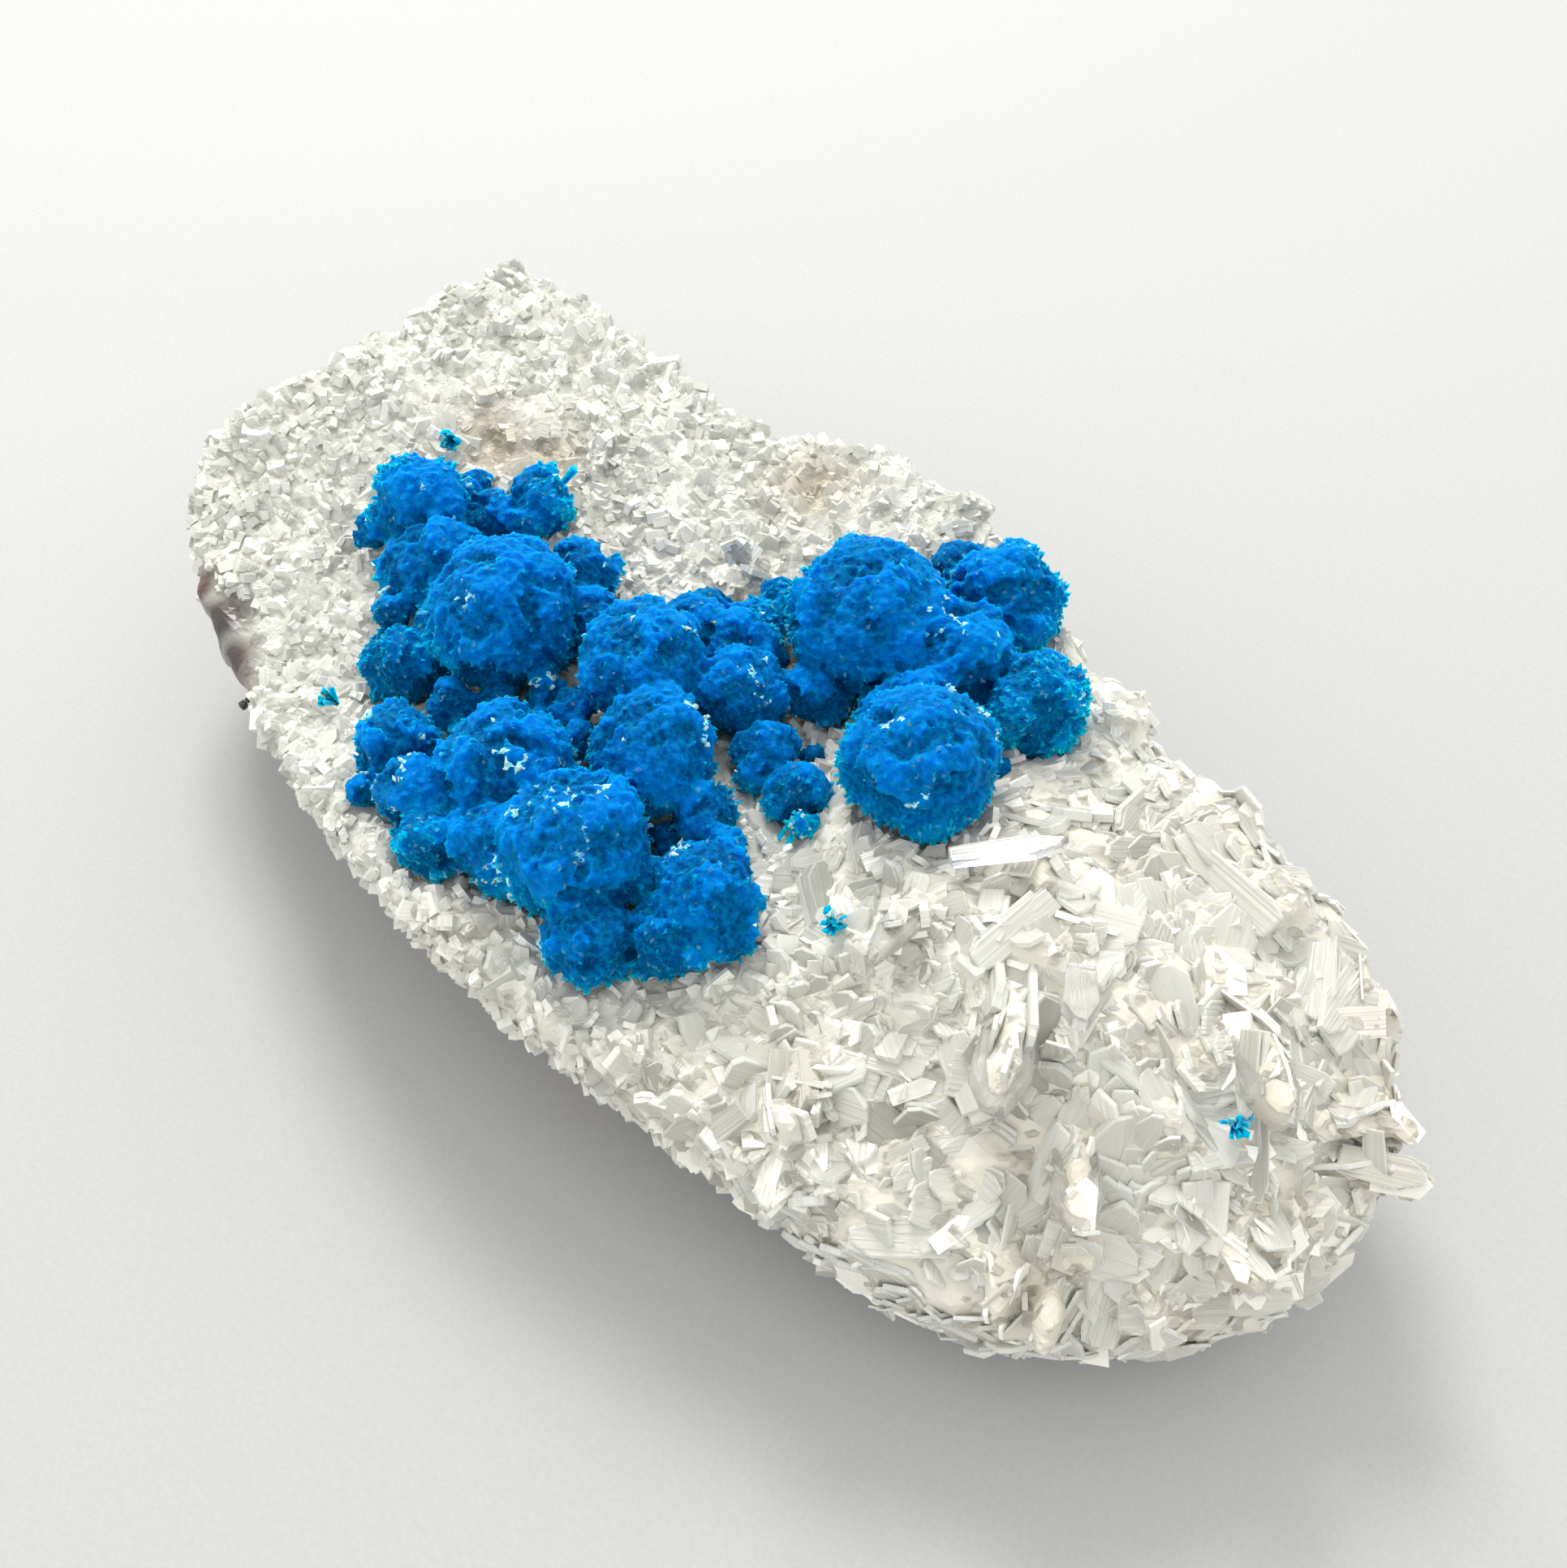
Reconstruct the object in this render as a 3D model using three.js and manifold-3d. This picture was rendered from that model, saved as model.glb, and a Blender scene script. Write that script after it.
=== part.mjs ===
// Cavansite specimen: a slab of basalt under a crust of stilbite blades, with chains of blue
// cavansite rosettes grown in the long hollow of its top. Millimetres, +Z up. The slab lies along X
// and rests on Z = 0, with the origin under the middle of its outline.
import * as THREE from 'three';
import { mergeVertices } from 'three/addons/utils/BufferGeometryUtils.js';
import Module from 'manifold-3d';

const manifold = await Module();
manifold.setup();

// ---- Driving dimensions ----

// The crest of the rim, counterclockwise from the right-hand end: x, y and height above the table.
const RIM = [
  [55.5, 5, 15], [49, 14.5, 19], [42, 17.5, 21], [30.5, 18, 22], [20, 21, 23],
  [10, 24.5, 24], [-6.5, 29, 25], [-14, 27.5, 25], [-19, 24.5, 24], [-35.5, 23.5, 26],
  [-49.5, 22, 27], [-52.5, 14, 27], [-53, 3.5, 26], [-57, -4.5, 24], [-58, -9, 21],
  [-50, -17, 18.5], [-38, -22, 18], [-27, -25, 20], [-11.5, -28, 22], [4.5, -28, 20],
  [19, -26, 18], [34.5, -24, 15], [43, -20.5, 14], [50, -14, 13], [55.5, -5, 13],
];
const HOLLOW_FLOOR = 20; // height of the crust in the middle of the hollow
const HOLLOW_EASE = 1.5; // how late the floor climbs to the rim
const SWELL = { x: 30, y: -3, height: 10, alongX: 20, alongY: 13 }; // the mound at the right
const TOOTH = { left: 0.9, right: 1.6 }; // how far the points of the crust stand up and out

const CRUST_DEPTH = 6; // crust over the basalt
const RIM_WRAP = 9; // how far the crust hangs down the side
const BARE_PATCH = { angle: 212, halfWidth: 9, share: 0.12 }; // where the basalt shows at the side
const BARE_WRAP = 3; // what is left of the crust's wrap there
const CRUST_LIP = 1.2; // how far the crust's lower edge laps over the basalt's side
const BASALT_REACH = 0.88; // the basalt's outline as a share of the rim's
const BASALT_ROUGHNESS = 1.6; // how unlevel its top is under the crust
const FOOT_REACH = 0.62; // the flat foot's outline as a share of the rim's
const OVERHANG = { angle: -10, halfWidth: 45, share: 0.12 }; // the raised right end; degrees

const TOUCH_GAP = 0.3; // between a rosette and the crust it sits in
const BASALT_GAP = 0.5; // between the crust and the basalt, measured square to the faces
const AROUND = 72; // points around the outline of the crust; the basalt has half as many
const CORE = new THREE.Vector2(0, -1); // the middle that the outline is scaled about

// Pits where the crust is thin: x, y, z and radius.
const PITS = [[-35.5, 6, 25.5, 3.5], [-12, 20.5, 27, 4]];

// Rosettes: x, y, z of the middle and radius to the crystal tips.
const ROSETTES = {
  cavansite_rosettes_left: [
    [-34, -2.5, 25, 4.25], [-30, 1, 23.5, 2.75], [-27.5, 4.5, 24.5, 3], [-29.5, -5.5, 23.5, 4.5],
    [-21, -5.5, 24.5, 6.25], [-20, 1.5, 23.5, 3.25], [-16.5, -1, 22.5, 3], [-24.5, -9, 21.5, 3.5],
    [-25.5, -13, 21, 3.5],
  ],
  cavansite_rosettes_front: [
    [-18.5, -19, 22.5, 3.5], [-14, -21.5, 23.5, 3], [-10, -23.5, 23, 2.75], [-9.5, -16, 24.5, 5.25],
    [-6, -20.5, 23.5, 3.75], [-0.5, -17.5, 25.5, 5.5], [4, -21, 23, 3.75], [8.5, -18, 23, 3.25],
    [8, -14, 24, 4.25],
  ],
  cavansite_rosettes_middle: [
    [-8.5, -3, 25.5, 5.25], [-2.5, -8, 25.5, 4.75], [3, -8.5, 23.5, 2.5], [-9, 3, 24.5, 3],
    [-5.5, 4, 24, 3.25], [-6, 7, 23, 2.5], [-2, 1, 24, 3.75], [2.5, -1.5, 23, 3],
    [7, -3, 23.5, 2.5],
  ],
  cavansite_rosettes_right: [
    [1.5, 11.5, 26.5, 6.5], [2, 5.5, 23.5, 3], [9, 13.5, 26, 4.5], [8, 20.5, 26, 4.5],
    [2.5, 21.5, 24.5, 2.75], [15.5, 14, 25.5, 4], [9, 7.5, 25, 4], [14, 2.5, 28.5, 5.75],
  ],
};
const CLUSTER_GAP = 0.5; // the narrow cleft between neighbouring clusters
const PLAIN_ROOM = 6; // rosettes under this radius sit in a plain icosahedral seat
const SMALL_ROSETTE = 5; // rosettes up to this radius have fewer crystals
const TIP_DEPTH = 0.2; // how deep the notches between crystal tips are, as a share of the radius
const TIP_SPREAD = 0.07; // how far the shorter crystals fall short of the radius
const SAME_PLACE = 0.05; // radians; a corner this near a tip's direction is that tip

// Small crystals of their own: name, x, y, z and half length. They are narrower one way.
const SPRAYS = [
  ['cavansite_spray_behind', -38.5, 5, 25.2, 1.1], ['cavansite_spray_front', -27, -18.5, 20.6, 1.1],
  ['cavansite_spray_mound', 16.5, -9.5, 24.8, 1.0], ['cavansite_spray_right_end', 45, -2.5, 22.2, 1.2],
];

// Blades of the crust: how many stand on each ring from the rim inwards, how far they lean out, and
// the share of their length that is sunk in the crust.
const BUNDLES = [
  { share: 0.96, count: 16, lean: 0.7, sunk: 0.66 }, { share: 0.83, count: 6, lean: 0.5, sunk: 0.5 },
  { share: 0.66, count: 3, lean: 0.4, sunk: 0.5 },
];
const BLADE = { length: 4.4, width: 1.9, thickness: 0.7 }; // at the left end
const BLADE_GROWTH = 2; // how many times larger the blades are at the right end
const PAIRED_FROM = 1.4; // blades grown past this stand in pairs
const FAN = 0.22; // radians between the blades of a pair
const PAIR_STAGGER = 0.16; // how much the blades of a pair differ in length

// Single long laths that stand out: foot and tip of each, its width and its thickness.
// Each goes on into the crust below its foot for a share of its length.
const LATH_ROOT = 0.3;
const LATH_ROLL = 0.3; // radians; all the laths turn their broad side the same way
const LATHS = [
  { foot: [20.5, -5, 26.5], tip: [21.8, -12.5, 28.5], width: 2.2, thickness: 1.5 },
  { foot: [22, -1.5, 29], tip: [26.5, 2.5, 30.5], width: 1.6, thickness: 1 },
  { foot: [33, -4.5, 28.5], tip: [35.5, -8.5, 31], width: 2.4, thickness: 1 },
  { foot: [31, -9, 26], tip: [34.5, -15.5, 28], width: 4, thickness: 1.4 },
  { foot: [43, 2.5, 23], tip: [48.5, -3, 25.5], width: 3.6, thickness: 1.2 },
  { foot: [38.5, -11, 21], tip: [42.5, -16.5, 24], width: 3.4, thickness: 1.2 },
  { foot: [-27, 10.5, 23], tip: [-29.2, 14, 26], width: 1.8, thickness: 1 },
  { foot: [-10, 11.5, 23], tip: [-12.5, 10.5, 26.5], width: 1.6, thickness: 1 },
];

// ---- Small helpers ----

// The same numbers on each run, between 0 and 1.
function seededRandom(seed) {
  let state = seed;
  return () => {
    state = (state * 16807) % 2147483647;
    return state / 2147483647;
  };
}

// 1 in the middle of a stretch of the outline, falling to 0 outside it.
function nearAngle(angle, { angle: middle, halfWidth }) {
  const apart = THREE.MathUtils.euclideanModulo(angle - middle + 180, 360) - 180;
  return Math.exp(-((apart / halfWidth) ** 2));
}

function toSolid(geometry) {
  const bare = geometry.clone();
  bare.deleteAttribute('normal');
  bare.deleteAttribute('uv');
  const merged = mergeVertices(bare, 1e-4);
  const mesh = new manifold.Mesh({
    numProp: 3,
    vertProperties: new Float32Array(merged.attributes.position.array),
    triVerts: new Uint32Array(merged.index.array),
  });
  return new manifold.Manifold(mesh);
}

function toGeometry(solid) {
  const mesh = solid.getMesh();
  const geometry = new THREE.BufferGeometry();
  geometry.setAttribute('position', new THREE.BufferAttribute(mesh.vertProperties, 3));
  geometry.setIndex(new THREE.BufferAttribute(mesh.triVerts, 1));
  geometry.computeVertexNormals();
  return geometry;
}

function joined(solids) {
  return solids.reduce((whole, solid) => whole.add(solid));
}

function without(solid, cutters) {
  return cutters.reduce((rest, cutter) => rest.subtract(cutter), solid);
}

// A cut can free small crumbs; the specimen keeps the largest body.
function largestBody(solid) {
  const bodies = solid.decompose();
  return bodies.reduce((largest, body) => (body.volume() > largest.volume() ? body : largest));
}

// A closed skin over rings of points, each ring counterclockwise from above and below or outside
// the last. A ring has as many points as the ring before it, or twice as many. The crease across
// each cell joins its two lower corners, so that the raised ones stand as separate points.
function ringSkin(top, rings, bottom) {
  const points = [top, ...rings.flat(), bottom];
  const faces = [];
  const around = (start, i, count) => start + (i % count);
  rings[0].forEach((_, i) => faces.push(0, 1 + i, around(1, i + 1, rings[0].length)));
  let start = 1;
  for (let ring = 1; ring < rings.length; ring += 1) {
    const count = rings[ring - 1].length;
    const nextCount = rings[ring].length;
    const next = start + count;
    for (let i = 0; i < count; i += 1) {
      const a = start + i;
      const b = around(start, i + 1, count);
      if (nextCount === count) {
        const c = next + i;
        const d = around(next, i + 1, nextCount);
        if (points[a].z + points[d].z < points[b].z + points[c].z) {
          faces.push(a, c, d, a, d, b);
        } else {
          faces.push(a, c, b, c, d, b);
        }
      } else {
        const d = next + 2 * i + 1;
        faces.push(a, d - 1, d, a, d, b, b, d, around(next, 2 * i + 2, nextCount));
      }
    }
    start = next;
  }
  const last = rings.at(-1).length;
  rings.at(-1).forEach((_, i) => faces.push(start + i, start + last, around(start, i + 1, last)));
  const skin = new THREE.BufferGeometry().setFromPoints(points);
  skin.setIndex(faces);
  return skin;
}

// ---- The slab's form ----

const rimCurve = new THREE.CatmullRomCurve3(
  RIM.map((point) => new THREE.Vector3(...point)), true, 'centripetal',
);

function rimAngle(crest) {
  return THREE.MathUtils.radToDeg(Math.atan2(crest.y - CORE.y, crest.x - CORE.x));
}

// The top of the crust at a share of the way from the core to a point of the rim's crest.
function crustTop(crest, share) {
  const x = CORE.x + (crest.x - CORE.x) * share;
  const y = CORE.y + (crest.y - CORE.y) * share;
  const climb = share ** HOLLOW_EASE;
  const swell = Math.exp(-(((x - SWELL.x) / SWELL.alongX) ** 2) - ((y - SWELL.y) / SWELL.alongY) ** 2);
  const z = HOLLOW_FLOOR * (1 - climb) + crest.z * climb + SWELL.height * swell;
  return new THREE.Vector3(x, y, z);
}

// A point at a share of the crest's reach and at its own height.
function atHeight(crest, share, z) {
  return new THREE.Vector3(
    CORE.x + (crest.x - CORE.x) * share, CORE.y + (crest.y - CORE.y) * share, z,
  );
}

// 0 over the small crystals of the left end, 1 over the large ones of the right end.
function growthAt(x) {
  return THREE.MathUtils.smoothstep(x, -15, 45);
}

const crests = rimCurve.getSpacedPoints(AROUND).slice(0, AROUND);

// Every second, fourth or eighth point of the crest, for a ring with fewer points.
function everyCrest(step) {
  return crests.filter((_, i) => i % step === 0);
}

function wrapOf(crest) {
  return THREE.MathUtils.lerp(RIM_WRAP, BARE_WRAP, nearAngle(rimAngle(crest), BARE_PATCH));
}

function basaltReach(crest) {
  const angle = rimAngle(crest);
  const bare = BARE_PATCH.share * nearAngle(angle, BARE_PATCH);
  return BASALT_REACH + bare - OVERHANG.share * nearAngle(angle, OVERHANG);
}

// The basalt slab, grown by a margin on every side.
function basaltSkin(margin) {
  const random = seededRandom(71);
  const rough = (size) => (random() - 0.5) * size;
  const inner = [[0.3, 8], [0.62, 4], [0.94, 2]];
  const topRings = inner.map(([share, step]) => everyCrest(step).map((crest) => {
    const point = crustTop(crest, basaltReach(crest) * share);
    point.z -= CRUST_DEPTH + rough(BASALT_ROUGHNESS);
    return point;
  }));
  // Side profile: share of the reach, and of the height at which the crust ends.
  const profile = [[1, 0.93, 0.8], [0.97, 0.6, 2], [0.86, 0.2, 1.6]];
  const sideRings = profile.map(([reach, height, size]) => everyCrest(2).map((crest) => {
    const edge = crest.z - wrapOf(crest) + CRUST_LIP;
    const share = basaltReach(crest) * reach + rough(size) / 40;
    return atHeight(crest, share, edge * height + rough(size));
  }));
  const foot = everyCrest(2).map((crest) => (
    atHeight(crest, FOOT_REACH * basaltReach(crest) / BASALT_REACH, 0)
  ));
  const top = new THREE.Vector3(CORE.x, CORE.y, HOLLOW_FLOOR - CRUST_DEPTH);
  const bottom = new THREE.Vector3(CORE.x, CORE.y, 0);
  const skin = ringSkin(top, [...topRings, ...sideRings, foot], bottom);
  if (margin > 0) {
    skin.computeVertexNormals();
    const { position, normal } = skin.attributes;
    for (let i = 0; i < position.count; i += 1) {
      position.setXYZ(
        i, position.getX(i) + normal.getX(i) * margin, position.getY(i) + normal.getY(i) * margin,
        position.getZ(i) + normal.getZ(i) * margin,
      );
    }
  }
  return skin;
}

// The crust before anything is cut from it: a loaf whose underside lies within the basalt. Every
// second point is a crystal's tip, and the points between are the notches.
function loafSkin() {
  const random = seededRandom(29);
  const tooth = (point, place) => {
    const size = THREE.MathUtils.lerp(TOOTH.left, TOOTH.right, growthAt(point.x));
    return size * (0.3 + random() * 0.7) * (place % 2 === 0 ? 1 : -1);
  };
  const inner = [
    [0.13, 8], [0.27, 4], [0.41, 2], [0.54, 1], [0.66, 1], [0.77, 1], [0.88, 1],
  ];
  const topRings = inner.map(([share, step], ring) => everyCrest(step).map((crest, i) => {
    const point = crustTop(crest, share);
    point.z += tooth(point, i + ring);
    return point;
  }));
  // Down the side: share of the crest's reach, and drop below the crest as a share of the wrap.
  const side = [[0.97, 0], [0.965, 0.5], [0.92, 1]];
  const sideRings = side.map(([share, drop], ring) => crests.map((crest, i) => (
    atHeight(crest, share + tooth(crest, i + ring + 1) / 60, crest.z - wrapOf(crest) * drop)
  )));
  const top = new THREE.Vector3(CORE.x, CORE.y, HOLLOW_FLOOR);
  const bottom = new THREE.Vector3(CORE.x, CORE.y, HOLLOW_FLOOR / 2 - 1);
  return ringSkin(top, [...topRings, ...sideRings], bottom);
}

// ---- Stilbite blades ----

// A flat lath along +Y with a pointed end; its foot is at the origin.
function bladeGeometry(length, width, thickness) {
  const half = width / 2;
  const shoulder = length - width * 0.6;
  const outline = new THREE.Shape([
    new THREE.Vector2(-half * 0.8, 0), new THREE.Vector2(half * 0.8, 0),
    new THREE.Vector2(half, shoulder), new THREE.Vector2(0, length),
    new THREE.Vector2(-half, shoulder),
  ]);
  const blade = new THREE.ExtrudeGeometry(outline, { depth: thickness, bevelEnabled: false });
  return blade.translate(0, 0, -thickness / 2);
}

// Turns +Y to a direction, after a roll about +Y.
function pose(geometry, foot, direction, roll) {
  const up = new THREE.Vector3(0, 1, 0);
  geometry.rotateY(roll);
  geometry.applyQuaternion(new THREE.Quaternion().setFromUnitVectors(up, direction));
  return geometry.translate(foot.x, foot.y, foot.z);
}

function insideRosette(point, room) {
  return Object.values(ROSETTES).flat().some(([x, y, z, radius]) => (
    point.distanceTo(new THREE.Vector3(x, y, z)) < radius + room
  ));
}

function bladeBundles() {
  const random = seededRandom(13);
  const blades = [];
  for (const { share, count, lean, sunk } of BUNDLES) {
    for (let i = 0; i < count; i += 1) {
      const crest = rimCurve.getPointAt((i + random() * 0.7) / count);
      const foot = crustTop(crest, share * (0.96 + random() * 0.04));
      const growth = THREE.MathUtils.lerp(1, BLADE_GROWTH, growthAt(foot.x));
      const outward = new THREE.Vector3(crest.x - CORE.x, crest.y - CORE.y, 0).normalize();
      const direction = outward.multiplyScalar(lean * (0.6 + random() * 0.7));
      direction.add(new THREE.Vector3(random() - 0.5, random() - 0.5, 0.25 + random() * 0.4));
      direction.normalize();
      const roll = random() * Math.PI;
      const length = BLADE.length * growth * (0.8 + random() * 0.5);
      foot.addScaledVector(direction, -length * sunk);
      if (!insideRosette(foot.clone().addScaledVector(direction, length * 0.8), 0.5)) {
        for (const step of growth > PAIRED_FROM ? [-0.5, 0.5] : [0]) {
          const blade = bladeGeometry(
            length * (1 + step * PAIR_STAGGER), BLADE.width * growth * (0.9 + random() * 0.3),
            BLADE.thickness * growth,
          );
          blade.rotateX(step * FAN).translate(0, 0, step * BLADE.thickness * growth * 1.2);
          blades.push(toSolid(pose(blade, foot, direction, roll)));
        }
      }
    }
  }
  return blades;
}

function longLaths() {
  return LATHS.map(({ foot, tip, width, thickness }) => {
    const start = new THREE.Vector3(...foot);
    const run = new THREE.Vector3(...tip).sub(start);
    const blade = bladeGeometry(run.length() * (1 + LATH_ROOT), width, thickness);
    start.addScaledVector(run, -LATH_ROOT);
    return toSolid(pose(blade, start, run.normalize(), LATH_ROLL));
  });
}

// ---- Cavansite ----

// The points and triangles of a subdivided icosahedron, without doubles.
function icosahedron(radius, detail) {
  const ball = new THREE.IcosahedronGeometry(radius, detail);
  ball.deleteAttribute('normal');
  ball.deleteAttribute('uv');
  const { index, attributes: { position } } = mergeVertices(ball, 1e-4);
  const points = Array.from({ length: position.count }, (_, i) => (
    new THREE.Vector3().fromBufferAttribute(position, i)
  ));
  return { points, faces: Array.from(index.array) };
}

// The middle of each triangle, pushed out to a radius.
function faceTips({ points, faces }, radius) {
  return Array.from({ length: faces.length / 3 }, (_, i) => {
    const [a, b, c] = faces.slice(3 * i, 3 * i + 3).map((corner) => points[corner]);
    return new THREE.Vector3().add(a).add(b).add(c).setLength(radius);
  });
}

// A ball of pointed crystals whose tips reach the radius, with notches between them. A small ball
// has a crystal on each face of an icosahedron, a large one has one on each corner as well.
function rosetteSolid([x, y, z, radius], seed) {
  const random = seededRandom(seed);
  const tipReach = () => 1 - TIP_SPREAD * random();
  const notchReach = () => 1 - TIP_DEPTH * (0.7 + random() * 0.5);
  const plain = icosahedron(radius, 0);
  const tips = faceTips(plain, radius);
  let { points, faces } = plain;
  if (radius > SMALL_ROSETTE) {
    tips.push(...plain.points);
    ({ points, faces } = icosahedron(radius, 2));
    const isTip = (point) => tips.some((tip) => tip.angleTo(point) < SAME_PLACE);
    points.forEach((point) => point.multiplyScalar(isTip(point) ? tipReach() : notchReach()));
  } else {
    const first = points.length;
    points.forEach((point) => point.multiplyScalar(notchReach()));
    points = [...points, ...tips.map((tip) => tip.multiplyScalar(tipReach()))];
    faces = tips.flatMap((_, i) => {
      const [a, b, c] = faces.slice(3 * i, 3 * i + 3);
      return [a, b, first + i, b, c, first + i, c, a, first + i];
    });
  }
  const skin = new THREE.BufferGeometry().setFromPoints(points);
  skin.setIndex(faces);
  skin.rotateX(random() * Math.PI).rotateZ(random() * Math.PI);
  return toSolid(skin.translate(x, y, z));
}

// A plain faceted ball that clears a rosette by at least the gap.
function rosetteRoom([x, y, z, radius], gap) {
  const plain = radius < PLAIN_ROOM;
  const flatness = plain ? 0.795 : 0.93; // how near the faces come, as a share of the corners' reach
  const room = new THREE.IcosahedronGeometry((radius + gap) / flatness, plain ? 0 : 1);
  return toSolid(room.translate(x, y, z));
}

// ---- The pieces ----

const MATERIALS = {
  basalt: new THREE.MeshStandardMaterial({ color: 0x463c35, roughness: 0.9, metalness: 0 }),
  stilbite: new THREE.MeshStandardMaterial({ color: 0xdbd8ca, roughness: 0.35, metalness: 0 }),
  cavansite: new THREE.MeshStandardMaterial({ color: 0x0a66c0, roughness: 0.45, metalness: 0 }),
};

const specimen = new THREE.Group();

function place(name, solid, material) {
  const mesh = new THREE.Mesh(toGeometry(solid), material);
  mesh.name = name;
  specimen.add(mesh);
}

place('basalt_matrix', toSolid(basaltSkin(0)), MATERIALS.basalt);

const clusterRooms = [];
for (const [name, rosettes] of Object.entries(ROSETTES)) {
  const cluster = joined(rosettes.map((rosette, i) => rosetteSolid(rosette, 101 + i * 17)));
  place(name, largestBody(without(cluster, clusterRooms)), MATERIALS.cavansite);
  clusterRooms.push(...rosettes.map((rosette) => rosetteRoom(rosette, CLUSTER_GAP)));
}

for (const [name, x, y, z, radius] of SPRAYS) {
  const spray = new THREE.OctahedronGeometry(radius, 0).scale(0.6, 1, 1);
  place(name, toSolid(spray.translate(x, y, z)), MATERIALS.cavansite);
}

const rooms = [
  ...Object.values(ROSETTES).flat().map((rosette) => rosetteRoom(rosette, TOUCH_GAP)),
  ...SPRAYS.map(([, ...ball]) => rosetteRoom(ball, TOUCH_GAP)),
  ...PITS.map((pit) => rosetteRoom(pit, 0)),
  toSolid(basaltSkin(BASALT_GAP)),
];
const crust = joined([toSolid(loafSkin()), ...bladeBundles(), ...longLaths()]);
place('stilbite_crust', largestBody(without(crust, rooms)), MATERIALS.stilbite);

export default specimen;
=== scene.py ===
"""Cavansite specimen: fine crystals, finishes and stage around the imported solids.

The basalt is roughened. The crust is grown over with stilbite blades, the small ones fused into its
skin. Each cluster of cavansite rosettes is a velvet of radiating blades fused together, with crisp
blades on it. Sizes in the tables are millimetres; meshes are in metres.
"""

import math

import bmesh
import bpy
import numpy as np
from bpy.props import FloatProperty, FloatVectorProperty, PointerProperty
from mathutils import Matrix, Vector, noise
from mathutils.bvhtree import BVHTree
from mathutils.kdtree import KDTree


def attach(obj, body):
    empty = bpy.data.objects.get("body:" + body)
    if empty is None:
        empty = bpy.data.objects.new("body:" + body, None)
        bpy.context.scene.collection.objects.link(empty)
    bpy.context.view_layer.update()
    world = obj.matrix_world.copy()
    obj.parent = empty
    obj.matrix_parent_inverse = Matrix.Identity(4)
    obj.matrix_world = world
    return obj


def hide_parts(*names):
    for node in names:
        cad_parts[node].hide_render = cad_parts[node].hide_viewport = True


bl_info = {
    "name": "Cavansite specimen",
    "version": (1, 0, 0),
    "blender": (4, 5, 0),
    "location": "3D View > Sidebar > Specimen",
    "description": "Basalt, stilbite crust and cavansite rosettes on their packed solids",
    "category": "Object",
}

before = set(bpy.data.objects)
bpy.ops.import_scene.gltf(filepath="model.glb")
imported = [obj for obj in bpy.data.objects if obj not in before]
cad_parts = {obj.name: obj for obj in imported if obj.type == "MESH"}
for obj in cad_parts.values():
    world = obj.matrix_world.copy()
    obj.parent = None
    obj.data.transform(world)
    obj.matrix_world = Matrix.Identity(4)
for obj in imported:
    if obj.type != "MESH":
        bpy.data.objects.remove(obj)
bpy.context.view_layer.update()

MM = 0.001
UP = np.array([0.0, 0.0, 1.0])

# How fine the remeshed pieces are.
ROCK_VOXEL = 0.9 * MM
SKIN_VOXEL = 0.65 * MM
GROUND_VOXEL = 0.49 * MM
VELVET_VOXEL = 0.25 * MM

# Seeds of what grows by chance, so that each run grows the same specimen.
STILBITE_SEED = 41
CAVANSITE_SEED = 77
FIRST_ROSETTE_SEED = 500

# The crystals grow from small to large over this length, from this x.
SMALL_END_MM = -15
GROWTH_LENGTH_MM = 60
# Below this height the basalt belongs to its flat foot.
FOOT_HEIGHT = 0.6 * MM
# The crust counts as open where no basalt stands this near over it.
OPEN_HEIGHT = 3 * MM
# Cavansite blades of a higher shade than this glint: their tips are painted near white as
# highlights.
GLINT_SHADE = 0.9
BLADES_PER_SPRAY = 14

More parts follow.
